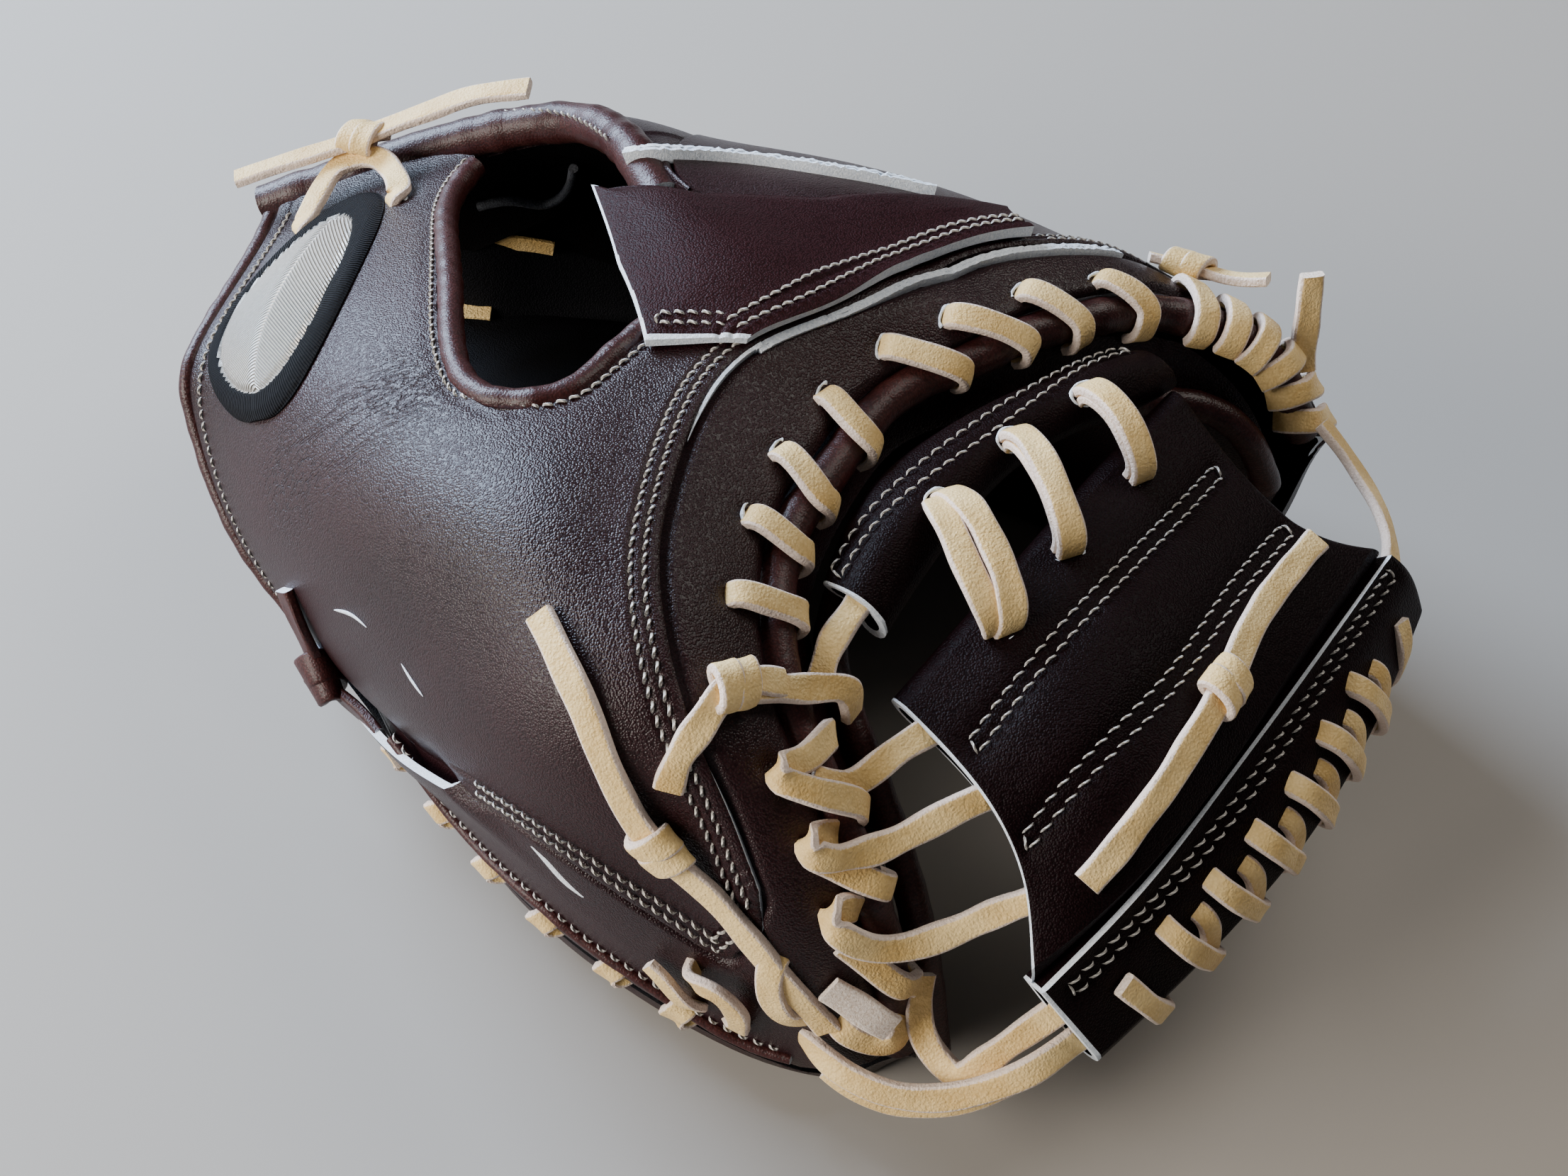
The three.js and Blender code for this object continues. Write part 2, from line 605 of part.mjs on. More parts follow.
// Crotch laces: from the thumb rim over the roll and across to the web
const crotchLaces = {
  crotch_lace_1: [
    ...outOfRim(3.94, 0.12),
    overRoll(3.9, 20),
    overRoll(3.86, 75),
    free([29, -29, 97], [0.4, 0, 1]),
    free([35, -27, 93], [0.6, 0, 1]),
  ],
  crotch_lace_2: [
    onBack(3.2, 0.12, 4.6),
    overRoll(3.14, 0),
    overRoll(3.08, 60),
    free([42, -42, 89], [0.3, 0, 1]),
    free([47, -36, 80], [0.8, 0, 0.5]),
  ],
  crotch_lace_3: [
    free([49, -41, 70], [0.6, 0.2, 1]),
    overRoll(2.62, 70),
    overRoll(2.6, 5),
    ...outOfRim(2.45, 0.125).reverse(),
  ],
  crotch_lace_4: [
    ...outOfRim(2.2, 0.11),
    overRoll(2.16, 5),
    overRoll(2.1, 60),
    free([51.5, -43, 84], [0.3, -0.3, 1]),
    panelEnd(0.13, [0.2, -0.3, 1]),
  ],
  crotch_lace_5: [
    ...outOfRim(1.72, 0.11),
    overRoll(1.72, 5),
    overRoll(1.74, 40),
    panelEnd(0.357, [0.2, -0.6, 0.8]),
  ],
  crotch_lace_6: [
    ...outOfRim(1.13, 0.1),
    overRoll(1.1, 5),
    overRoll(1.08, 45),
    free([72, -56, 64], [0.1, -0.6, 0.8]),
    panelEnd(0.714, [0.1, -0.6, 0.8]),
  ],
};

// Web loops: each comes up through the crotch strip and goes down through the web panel's fold
const webLoops = [
  { strip: [0.29, 0.62], panel: [0.3, 0.13], arch: 7 },
  { strip: [0.48, 0.62], panel: [0.54, 0.13], arch: 6 },
  { strip: [0.67, 0.58], panel: [0.78, 0.13], arch: 5 },
];
function webLoop({ strip: from, panel: to, arch }) {
  const up = onStrip(...from, webHalf + laceLift);
  const down = onPanel(...to, webHalf + laceLift);
  const run = down.point.clone().sub(up.point);
  const middle = up.point.clone().addScaledVector(run, 0.5).add(vector([0, 0, arch - 2]));
  return (grow) => ribbon([
    ...inHole(up, run),
    { point: middle, normal: vector([0.2, 0, 1]).normalize() },
    ...inHole(down, run.clone().negate()).reverse(),
  ], grow, 1, webLoopWidth);
}

// A lace that winds round an edge, with the same stops at each turn, run on into one body
const winding = (turns, stopsOf) => (grow) => (
  ribbon(Array.from({ length: turns }, (_, k) => stopsOf(k)).flat(), grow, 1, windingWidth)
);

// One turn round an edge, in the plane across it: out over the top, round the edge, and back below.
// at(share, side, step) gives the stop on top (side 1) or below (-1), a step on from the turn's start.
function turnStops(at, over, outwards, hole) {
  const top = at(hole, 1, 0);
  const shoulder = at(1, 1, 0.05);
  const below = at(1, -1, 0.35);
  const bottom = at(hole, -1, 1);
  const { normal } = top;
  const down = normal.clone().negate();
  return [
    { point: top.point, normal: normal.clone().sub(outwards) },
    { point: shoulder.point, normal },
    { point: over, normal: outwards },
    { point: below.point, normal: down },
    { point: bottom.point, normal: down.clone().sub(outwards) },
  ];
}

const edgeSpiral = winding(7, (k) => {
  const pitch = 0.76 / 7;
  const start = 0.1 + pitch * k;
  const outwards = edge.at(start * webRowSpan, 1).sub(edge.at(start * webRowSpan, 0.9)).normalize();
  const over = edge.at((start + 0.2 * pitch) * webRowSpan, 1).addScaledVector(outwards, laceLift + 0.7);
  const at = (share, side, step) => (
    onEdge(start + step * pitch, share === 1 ? 0.88 : share, side * (webHalf + laceLift + 0.1))
  );
  return turnStops(at, over, outwards, 0.45);
});

// Lacing of the edge: up through the back, out over its edge, and along under it to the next hole
const edgeLacing = (turns, from, to) => winding(turns, (k) => {
  const pitch = (to - from) / turns;
  const start = from + pitch * k;
  const outwards = back.at(start, 1).sub(back.at(start, 0.95)).normalize();
  const over = onBack(start + 0.2 * pitch, 1, -leather / 2).point.addScaledVector(outwards, laceLift + 0.9);
  const hole = 1 - (0.05 * edgeHole) / back.at(start, 1).distanceTo(back.at(start, 0.95));
  const at = (share, side, step) => (
    onBack(start + step * pitch, share, side > 0 ? laceLift + 0.4 : -leather - laceLift - 0.4)
  );
  return turnStops(at, over, outwards, hole);
});
const thumbEdgeLace = edgeLacing(6, 3.26, 0.8);
const fingerEdgeLace = edgeLacing(7, 11.2, 14.3);

// A stop just short of the edge strip's lower end
const edgeEnd = (across, normal) => (
  { point: onEdge(-0.02, across, 0).point, normal: vector(normal).normalize() }
);

// Loops of lace from the thumb tip round below the web to the lower end of its edge strip
const lowerLoopOuter = [
  onBack(0.45, 0.5, laceLift),
  free([60.8, -80, 32.3], [0, -0.9, 0.45]),
  free([70.3, -79, 30.9], [0.1, -0.9, 0.45]),
  free([80, -75, 30.8], [0.2, -0.9, 0.45]),
  free([89.8, -70, 35.8], [0.3, -0.8, 0.45]),
  free([97.9, -64, 43], [0.4, -0.7, 0.45]),
  edgeEnd(0.75, [0.5, -0.6, 0.45]),
];
const lowerLoopInner = [
  free([70.9, -63.6, 37.5], [0.7, -0.7, 0.3]),
  free([76.3, -66, 31.7], [0.3, -0.8, 0.5]),
  free([82.6, -67, 30.3], [0.2, -0.8, 0.5]),
  free([87.5, -64, 36.8], [0.3, -0.7, 0.5]),
  edgeEnd(0.4, [0.4, -0.6, 0.5]),
];

// A knot: a ring of lace round the strand, which runs on through it into its tails
function knotted(tails, knot, heading, grow) {
  const axis = heading.clone().normalize();
  const across = axis.clone().cross(knot.normal).normalize();
  const up = across.clone().cross(axis).normalize();
  const path = Array.from({ length: knotSides }, (_, k) => {
    const turn = (2 * Math.PI * k) / knotSides;
    const away = across.clone().multiplyScalar(Math.cos(turn) * knotRadii[0])
      .addScaledVector(up, Math.sin(turn) * knotRadii[1]);
    return { point: knot.point.clone().add(away), normal: away.normalize() };
  });
  const ring = sweep(path, flat(knotWidth + 2 * grow, laceThick + 2 * grow), true);
  return ring.add(ribbon(tails, grow));
}

const thumbKnot = (grow) => {
  const knot = onBack(2.08, 0.42, knotRise);
  const heading = onBack(1.6, 0.38, 4).point.sub(onBack(2.5, 0.44, 4).point);
  return knotted([
    onBack(4.0, 0.44, laceLift), onBack(3.3, 0.418, laceLift + 0.4), onBack(2.6, 0.43, laceLift + 1), knot,
    onBack(1.55, 0.375, laceLift + 1.4), onBack(0.95, 0.335, laceLift + 1), onBack(0.36, 0.31, laceLift + 0.6),
  ], knot, heading, grow);
};

const crotchKnot = (grow) => {
  const knot = onBack(3.08, 0.17, rimRise + knotRise);
  const heading = onBack(3.08, 0.1, 4).point.sub(onBack(3.0, 0.2, 4).point);
  return knotted([
    onBack(3.1, 0.06, crotchRollRadius + laceLift), knot, onBack(2.86, 0.24, rimRise + laceLift),
    onBack(2.64, 0.3, laceLift), onBack(2.42, 0.35, laceLift),
  ], knot, heading, grow);
};

const webKnot = (grow) => {
  const top = webHalf + laceLift;
  const knot = onPanel(0.56, 0.7, webHalf + knotRise);
  const heading = onPanel(0.7, 0.7, 4).point.sub(onPanel(0.4, 0.7, 4).point);
  return knotted([
    onPanel(0.14, 0.8, top), onPanel(0.3, 0.76, top), onPanel(0.44, 0.72, top + 0.6), knot,
    onPanel(0.7, 0.7, top + 0.6), onPanel(0.85, 0.71, top), onPanel(0.97, 0.72, top),
  ], knot, heading, grow);
};

const wristKnot = (grow) => {
  const knot = free([-162, 52, 99], [-0.2, -0.2, 1]);
  return knotted([
    free([-187, 29.6, 90.2], [-0.3, -0.2, 1]), free([-176, 40, 94], [-0.3, -0.2, 1]), knot,
    free([-140, 67, 110], [0, -0.2, 1]), free([-124, 74.6, 114.6], [0, -0.2, 1]),
  ], knot, vector([1, 0.2, 0.1]), grow);
};

const tipKnot = (grow) => {
  const knot = free([40, 115, 101], [-0.2, 0.5, 0.8]);
  return knotted([
    free([31, 112, 102], [-0.3, 0.5, 0.8]), knot, free([49, 116, 101], [-0.1, 0.4, 0.9]),
    free([59, 118, 103], [0.1, 0.4, 0.9]),
  ], knot, vector([1, 0.1, 0]), grow);
};

// Loose end of the finger tip's lace, and the lace from there to the far end of the web's edge
const tipTail = [
  free([73, 114, 84], [0.5, -0.6, 0.5]),
  free([71, 116, 93], [0.6, -0.6, 0.4]),
  free([69, 118, 109], [0.6, -0.7, 0.2]),
];
const edgeTie = [
  free([82.5, 106, 78], [0.5, 0.3, 0.8]),
  free([90, 103.5, 74], [0.5, 0.4, 0.8]),
  free([99, 97, 72], [0.5, 0.4, 0.8]),
  free([106, 89, 72], [0.6, 0.5, 0.6]),
  free([111.5, 79, 73], [0.8, 0.3, 0.6]),
  free([113, 73.5, 73], [0.8, 0.2, 0.6]),
];

const wristLace = (grow) => {
  const run = vector([0.5, 1, 0.3]);
  return ribbon([
    ...inHole(onBack(7.55, 0.93, laceLift), run),
    free([-165, 44, 93], [-0.3, -0.6, 1]),
    free([-157, 50, 96], [-0.2, -0.7, 1]),
    free([-150, 48, 96.5], [0, -0.6, 1]),
    ...inHole(onBack(7.5, 0.79, laceLift), run).reverse(),
  ], grow);
};

// Dark thong that ties the wrist end of the thumb edge
const edgeThong = (grow) => {
  const knot = onBack(3.92, 0.965, 3.8);
  return knotted([
    onBack(4.62, 0.91, laceLift), onBack(4.34, 0.92, laceLift + 0.5), knot,
    onBack(3.62, 0.955, laceLift + 0.6), onBack(3.4, 0.935, laceLift),
  ], knot, vector([1, -0.4, -0.6]), grow);
};

// Every piece in the order in which it keeps its shape: a later one is cut to clear the earlier
const pieces = [
  ["thumb_knot", "lace", thumbKnot],
  ["crotch_knot", "lace", crotchKnot],
  ["web_knot", "lace", webKnot],
  ["wrist_knot", "lace", wristKnot],
  ["tip_knot", "lace", tipKnot],
  ["edge_thong", "binding", edgeThong],
  ["wrist_lace", "lace", wristLace],
  ...Object.entries(rollLaces).map(([name, row]) => [name, "lace", rollLace(row)]),
  ...Object.entries(crotchLaces).map(([name, stops]) => [name, "lace", (grow) => ribbon(stops, grow)]),
  ...webLoops.map((row, k) => [`web_loop_${k + 1}`, "lace", webLoop(row)]),
  ["tip_tail", "lace", (grow) => ribbon(tipTail, grow)],
  ["edge_tie", "lace", (grow) => ribbon(edgeTie, grow)],
  ["lower_loop_outer", "lace", (grow) => ribbon(lowerLoopOuter, grow)],
  ["lower_loop_inner", "lace", (grow) => ribbon(lowerLoopInner, grow)],
  ["edge_spiral", "lace", edgeSpiral],
  ["thumb_edge_lace", "lace", thumbEdgeLace],
  ["finger_edge_lace", "lace", fingerEdgeLace],
  ["crotch_roll", "binding", crotchRoll],
  ["heel_roll", "binding", heelRoll],
  ["opening_binding", "binding", openingBinding],
  ["wrist_piping", "binding", wristPiping],
  ["palm_roll", "binding", palmRoll],
  ["index_flap", "leather", indexFlap],
  ["rim_panel", "leather", rimPanel],
  ["strap_patch", "patch", strapPatch],
  ["web_strip", "web", (grow) => pressedTube(strip, 7, 3, grow)],
  ["web_edge", "web", (grow) => pressedTube(edge, 6, 2, grow, false)],
  ["web_panel", "web", (grow) => pressedTube(panel, 6, 5, grow)],
  ["hand_back", "leather", handBack],
  ["finger_back", "leather", fingerBack],
  ["heel_side", "leather", heelSide],
  ["palm_pad", "lining", palmPad],
];

const meets = (a, b) => {
  const boxes = [a.boundingBox(), b.boundingBox()];
  return [0, 1, 2].every((axis) => (
    boxes[0].min[axis] <= boxes[1].max[axis] && boxes[1].min[axis] <= boxes[0].max[axis]
  ));
};

function largestPart(solid) {
  const parts = solid.decompose();
  return parts.reduce((best, part) => (part.volume() > best.volume() ? part : best));
}

const group = new THREE.Group();
const placed = [];
for (const [name, finish, make] of pieces) {
  let solid = make(0);
  for (const earlier of placed) {
    if (meets(solid, earlier)) {
      solid = solid.subtract(earlier);
    }
  }
  const body = largestPart(solid);
  placed.push(make(clearance).add(body));
  const mesh = body.getMesh();
  const geometry = new THREE.BufferGeometry();
  geometry.setAttribute("position", new THREE.BufferAttribute(mesh.vertProperties, 3));
  geometry.setIndex(new THREE.BufferAttribute(mesh.triVerts, 1));
  const node = new THREE.Mesh(geometry, new THREE.MeshStandardMaterial(finishes[finish]));
  node.name = name;
  group.add(node);
}
group.position.set(crotchPlace[0], crotchPlace[1], 0);

export default group;
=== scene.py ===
# A catcher's mitt lying palm down: oiled brown leather with a fine grain, rolled bindings, double
# rows of pale stitching, raw pale edges brightened with painted cool light, and rawhide lacing. Metres, in
# the imported model's frame.

import bpy
import numpy as np
from mathutils import Matrix


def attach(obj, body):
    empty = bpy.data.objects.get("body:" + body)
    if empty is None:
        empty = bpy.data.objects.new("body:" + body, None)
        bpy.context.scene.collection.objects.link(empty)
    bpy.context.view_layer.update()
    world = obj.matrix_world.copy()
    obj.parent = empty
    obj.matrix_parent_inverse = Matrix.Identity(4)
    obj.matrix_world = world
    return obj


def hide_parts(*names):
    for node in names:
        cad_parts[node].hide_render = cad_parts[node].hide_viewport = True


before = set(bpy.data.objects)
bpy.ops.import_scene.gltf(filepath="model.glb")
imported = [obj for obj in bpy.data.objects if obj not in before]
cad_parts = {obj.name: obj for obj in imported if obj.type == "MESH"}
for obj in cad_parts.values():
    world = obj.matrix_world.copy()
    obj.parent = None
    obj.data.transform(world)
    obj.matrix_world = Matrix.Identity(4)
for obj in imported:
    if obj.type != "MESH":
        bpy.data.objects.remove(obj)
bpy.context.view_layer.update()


# Camera. It looks down on the mitt's back from beyond the thumb, as the photograph does. It aims
# above the crotch, the floor point under the crotch of thumb and fingers, which all guide points
# below are about.

crotch_place = np.array((0.03326, -0.02571, 0.0))
view_azimuth, view_elevation = np.radians((32.0, 48.0))
aim_above_crotch = (0.0, 0.0, 0.06)
aim_right, aim_up, view_distance = -0.0018, 0.0072, 0.5


def unit(vectors):
    """Vectors at length 1."""
    return vectors / np.maximum(np.linalg.norm(vectors, axis=-1, keepdims=True), 1e-12)


def axes_towards(towards):
    """Columns: the unit vectors right, up and back of something that looks away from towards."""
    back_axis = unit(np.asarray(towards, float))
    side = unit(np.cross((0, 0, 1), back_axis))
    return np.stack([side, np.cross(back_axis, side), back_axis], axis=1)


def place_object(name, data, axes=np.eye(3), place=(0, 0, 0)):
    """An object in the scene at a place, turned to axes."""
    thing = bpy.data.objects.new(name, data)
    thing.matrix_world = Matrix([[*row, x] for row, x in zip(axes, place)] + [[0, 0, 0, 1]])
    bpy.context.scene.collection.objects.link(thing)
    return thing


view_axes = axes_towards((
    np.sin(view_azimuth) * np.cos(view_elevation),
    -np.cos(view_azimuth) * np.cos(view_elevation),
    np.sin(view_elevation),
))
camera_place = crotch_place + aim_above_crotch + view_axes @ (aim_right, aim_up, view_distance)
camera_data = bpy.data.cameras.new("camera")
camera_data.lens, camera_data.sensor_width, camera_data.clip_start = 50, 36, 0.01
bpy.context.scene.camera = place_object("camera", camera_data, view_axes, camera_place)


# Floor and light. A plain pale floor, a wide window of cool light from beyond the wrist, a faint
# ceiling, and a weaker warm fill from the thumb's side.

floor_colour = (0.325, 0.3, 0.27, 1)
floor_reach = 1.6
sky_colour, sky_strength = (0.9, 0.93, 1.0, 1), 0.085


def new_material(name, **values):
    """A material and its node tree. values are the shader's plain inputs, with _ for a space."""
    material = bpy.data.materials.new(name)
    material.use_nodes = True
    shader = material.node_tree.nodes["Principled BSDF"]
    for label, value in values.items():
        shader.inputs[label.replace("_", " ")].default_value = value
    return material, material.node_tree


floor_mesh = bpy.data.meshes.new("floor")
floor_corners = [(x * floor_reach, y * floor_reach, 0) for x, y in ((-1, -1), (1, -1), (1, 1), (-1, 1))]
floor_mesh.from_pydata(floor_corners, [], [(0, 1, 2, 3)])
floor_mesh.materials.append(new_material("floor", Base_Color=floor_colour, Roughness=0.8)[0])
floor = place_object("floor", floor_mesh)


def area_light(name, place, aim, size, power, colour):
    """A rectangular light at place that faces aim."""
    data = bpy.data.lights.new(name, "AREA")
    data.shape, data.energy, data.color = "RECTANGLE", power, colour
    data.size, data.size_y = size
    place_object(name, data, axes_towards(np.subtract(place, aim)), place)


area_light("window", (-1.3, 0.2, 0.82), (0, 0, 0.05), (0.95, 0.8), 84, (0.62, 0.77, 1.0))
area_light("ceiling", (0.35, 0.7, 1.1), (0, 0, 0), (0.7, 0.7), 8, (1.0, 0.95, 0.88))
area_light("fill", (-0.7, -1.05, 0.62), (0, 0, 0.05), (0.9, 0.7), 32, (1.0, 0.94, 0.86))

world = bpy.data.worlds.new("studio")
world.use_nodes = True
world.node_tree.nodes["Background"].inputs["Color"].default_value = sky_colour
world.node_tree.nodes["Background"].inputs["Strength"].default_value = sky_strength
bpy.context.scene.world = world


# Leather of the hand back. One panel of oiled steerhide covers the thumb, the back of the hand and
# the wrist strap. It is cut round the hand opening, creased beside it, and sewn down along the rim
# with two rows of thread, so that its raw edge stands up there over the rim panel.


def cubic(values, knots, place):
    """The natural cubic spline through values at knots. Its second derivatives solve a tridiagonal
    system."""
    values, gaps = np.asarray(values, float), np.diff(knots)
    bends = np.zeros_like(values)
    if len(values) > 2:
        system = np.diag(2 * (gaps[:-1] + gaps[1:])) + np.diag(gaps[1:-1], 1) + np.diag(gaps[1:-1], -1)
        slopes = np.diff(values, axis=0) / gaps[:, None]
        bends[1:-1] = np.linalg.solve(system, 6 * np.diff(slopes, axis=0))
    place = np.asarray(place, float)
    cell = np.clip(np.searchsorted(knots, place, side="right") - 1, 0, len(values) - 2)
    gap = gaps[cell][..., None]
    late = (place - knots[cell])[..., None] / gap
    early = 1 - late
    curved = (early**3 - early) * bends[cell] + (late**3 - late) * bends[cell + 1]
    return early * values[cell] + late * values[cell + 1] + curved * gap**2 / 6


def spline(values, place):
    """The natural cubic spline through a short table of rows, at each place along it."""
    return cubic(values, np.arange(len(values)), place)


class Sheet:
    """A smooth surface through a table of guide points in millimetres about the crotch: splines along
    its rows, by their count, and across its columns, from 0 to 1."""

    def __init__(self, rows, facing=1):
        self.guide = np.array(rows, float) / 1000 + crotch_place
        self.facing = facing

    def at(self, along, across):
        """Points: the splines of the unit vectors, which are weights, times the guide points."""
        along, across = np.broadcast_arrays(along, across)
        rows, columns = self.guide.shape[:2]
        by_row, by_column = spline(np.eye(rows), along), spline(np.eye(columns), across * (columns - 1))
        return np.einsum("...i,...j,ijk->...k", by_row, by_column, self.guide)

    def normal(self, along, across):
        """Unit normals: the cross product of central differences along and across."""
        step = 0.002
        along, across = np.asarray(along, float), np.asarray(across, float)
        forth = self.at(along + step, across) - self.at(along - step, across)
        out = self.at(along, across + step) - self.at(along, across - step)
        return self.facing * unit(np.cross(forth, out))

    def share(self, along, start, distance):
        """The share of the way across at a short distance on from a share."""
        step = 0.01
        stretch = np.linalg.norm(self.at(along, start + step) - self.at(along, start), axis=-1) / step
        return start + distance / stretch


# Columns: crotch roll, seam, crown, flank, edge. A row for each section, from thumb tip to finger tip.
back = Sheet([
    [(68, -65, 24), (64, -71, 26), (59, -73, 22), (55, -73, 17), (49, -73, 12)],
    [(61, -62, 56), (46, -76, 64), (39, -79, 47), (33, -79, 29), (26, -78, 16)],
    [(47, -56, 80), (31, -71, 89), (15, -81, 72), (-2, -83, 44), (-19, -75, 18)],
    [(29, -46, 96), (16, -65, 107), (-4, -81, 96), (-36, -78, 57), (-64, -62, 22)],
    [(16, -31, 104), (0, -49, 117), (-25, -69, 109), (-67, -67, 68), (-103, -50, 34)],
    [(9, -14, 108), (-10, -31, 120), (-37, -51, 121), (-82, -56, 93), (-131, -44, 52)],
    [(8, 3, 110), (-18, -6, 122), (-49, -21, 123), (-101, -32, 107), (-151, -32, 72)],
    [(8, 28, 111), (-17, 16, 123), (-54, 11, 124), (-123, 11, 105), (-160, -14, 84)],
    [(16, 47, 111), (-8, 36, 122), (-55, 34, 126), (-135, 62, 98), (-179, 33, 82)],
    [(21, 58, 111), (-2, 52, 120), (-62, 51, 124), (-117, 79, 108), (-193, 43, 74)],
    [(25, 67, 110), (4, 65, 117.5), (-52, 67, 120), (-99, 101, 92), (-180, 78, 36)],
    [(31, 78, 108), (13, 80, 115), (-32, 84, 116), (-66, 117, 84), (-132, 108, 14)],
    [(40, 92, 104), (28, 98, 108), (3, 105, 105), (-20, 128, 76), (-66, 127, 14)],
    [(52, 102, 99), (46, 109, 97), (37, 119, 88), (27, 131, 62), (2, 135, 14)],
    [(68, 107, 90), (65, 115, 86), (59, 123, 74), (52, 130, 48), (44, 131, 14)],
    [(79, 111, 66), (81, 119, 59), (79, 122, 47), (77, 121, 31), (72, 119, 12)],
])

main_outputs = {
    "TexCoord": "Object", "TexNoise": "Fac", "TexVoronoi": "Distance", "MapRange": "Result",
    "Mix": "Result", "Bump": "Normal", "Attribute": "Fac",
}


def add_node(tree, kind, *plain, out=None, **settings):
    """A shader node's output. Settings are the node's properties or its inputs, with _ for a space,
    and plain ones its inputs in order: values or other nodes' outputs."""
    node = tree.nodes.new("ShaderNode" + kind)
    for label in [label for label in settings if hasattr(node, label)]:
        setattr(node, label, settings.pop(label))
    named = {label.replace("_", " "): value for label, value in settings.items()}
    for label, value in [*enumerate(plain), *named.items()]:
        if isinstance(value, bpy.types.NodeSocket):
            tree.links.new(value, node.inputs[label])
        else:
            node.inputs[label].default_value = value
    return node.outputs[out or main_outputs.get(kind, 0)]


def add_math(tree, operation, *values):
    """A Math node's output."""
    return add_node(tree, "Math", *values, operation=operation)


def blend(tree, factor, first, second):
    """Two colours mixed by a factor, each plain or an output."""
    first, second = ((*c, 1) if isinstance(c, (tuple, np.ndarray)) else c for c in (first, second))
    return add_node(tree, "Mix", data_type="RGBA", Factor=factor, A=first, B=second)


def link_shader(tree, **links):
    """Outputs linked to the material's shader, by the names of its inputs with _ for a space."""
    for label, source in links.items():
        tree.links.new(source, tree.nodes["Principled BSDF"].inputs[label.replace("_", " ")])


def leather(name, dark, light, roughness, scale, depth, swell, specular=0.5, under=None):
    """Dyed leather. Its bump is a Voronoi field's pebbles moved by noise, plus pores and slow swells,
    over the normal that under makes. Slow patches mix two colours and change the gloss, and the
    creases between the pebbles are darker."""
    material, tree = new_material(name, Roughness=roughness, Specular_IOR_Level=specular)
    place = add_node(tree, "TexCoord")
    warp = add_node(tree, "TexNoise", out="Color", Vector=place, Scale=900, Detail=2)
    shift = add_node(tree, "VectorMath", warp, operation="SCALE", Scale=0.00025)
    moved = add_node(tree, "VectorMath", place, shift, operation="ADD")
    pebbles = add_node(tree, "TexVoronoi", feature="SMOOTH_F1", Vector=moved, Scale=scale, Smoothness=0.4)
    pores = add_node(tree, "TexNoise", Vector=place, Scale=3800, Detail=1)
    slow = add_node(tree, "TexNoise", Vector=place, Scale=90, Detail=3)
    patches = add_node(tree, "TexNoise", Vector=place, Scale=22, Detail=4)
    crease = add_node(tree, "MapRange", pebbles, 0.15, 0.75, 1, 0)
    height = add_math(tree, "MULTIPLY_ADD", slow, swell, add_math(tree, "MULTIPLY_ADD", pores, 0.25, crease))
    dye = blend(tree, add_node(tree, "MapRange", patches, 0.3, 0.7), dark, light)
    deep = add_node(tree, "MapRange", crease, 0, 1, 0.45, 1.1)
    colour = add_node(tree, "Mix", data_type="RGBA", blend_type="MULTIPLY", Factor=1, A=dye, B=deep)
    gloss = add_node(tree, "MapRange", patches, 0.25, 0.75, roughness - 0.05, roughness + 0.08)
    below = {"Normal": under(tree)} if under else {}
    bump = add_node(tree, "Bump", Height=height, Distance=depth, **below)
    link_shader(tree, Base_Color=colour, Roughness=gloss, Normal=bump)
    return material


# Where the fine creases lie that fan out from the opening's lower corner towards the strap's end
crease_line = back.at(np.linspace(6.0, 5.35, 40), np.linspace(0.655, 0.84, 40))
crease_reach, crease_depth = 0.0115, 0.00034


def fanned_creases(tree):
    """Creases by the creased attribute: thin valleys where noise, stretched along the crease line by
    three dot products, crosses its middle value."""
    place = add_node(tree, "TexCoord")
    heading = unit(crease_line[-1] - crease_line[0])
    first = unit(np.cross(heading, (0, 0, 1)))
    parts = [
        add_node(tree, "VectorMath", place, tuple(way), operation="DOT_PRODUCT", out="Value")
        for way in (heading * 45, first * 560, np.cross(heading, first) * 560)
    ]
    noise = add_node(tree, "TexNoise", Vector=add_node(tree, "CombineXYZ", *parts), Scale=1, Detail=3)
    apart = add_math(tree, "ABSOLUTE", add_math(tree, "SUBTRACT", noise, 0.5))
    valley = add_node(tree, "MapRange", apart, 0, 0.045, -1, 0, interpolation_type="SMOOTHSTEP")
    depth = add_math(tree, "MULTIPLY", valley, add_node(tree, "Attribute", attribute_name="creased"))
    return add_node(tree, "Bump", Height=depth, Distance=crease_depth)


def raw_leather(name, pale, deep):
    """A cut edge of leather: pale felted fibres, as stretched noise in colour and in height."""
    material, tree = new_material(name, Roughness=0.9, Sheen_Weight=0.3)
    place = add_node(tree, "TexCoord")
    fibres = add_node(tree, "TexNoise", Vector=place, Scale=1800, Detail=4, Roughness=0.7)
    colour = blend(tree, add_node(tree, "MapRange", fibres, 0.35, 0.6), deep, pale)
    link_shader(tree, Base_Color=colour, Normal=add_node(tree, "Bump", Height=fibres, Distance=0.0004))
    return material


hide = leather("hide", (0.015, 0.0038, 0.005), (0.027, 0.007, 0.0088), 0.34, 2100, 0.00012, 0.16,
               specular=0.27, under=fanned_creases)
# The flesh side, under the panels and inside the mitt, is painted near black and dull as the shade there.
flesh_side_painted_shade = leather("flesh_side_painted_shade", (0.0025, 0.002, 0.0022), (0.005, 0.004, 0.0045), 0.85, 2600, 0.0002, 0.5,
                     specular=0.05)
# Raw edges: the leather's own pale cut fibre, raised to a bright blue-white that is painted cool window
# light, so edges turned from the window still read bright.
raw_edge_with_painted_light = raw_leather("raw_edge_with_painted_light", (0.88, 0.93, 0.98), (0.58, 0.65, 0.74))
cut_leather, turned_leather = [hide, flesh_side_painted_shade, raw_edge_with_painted_light], [hide, flesh_side_painted_shade, hide]


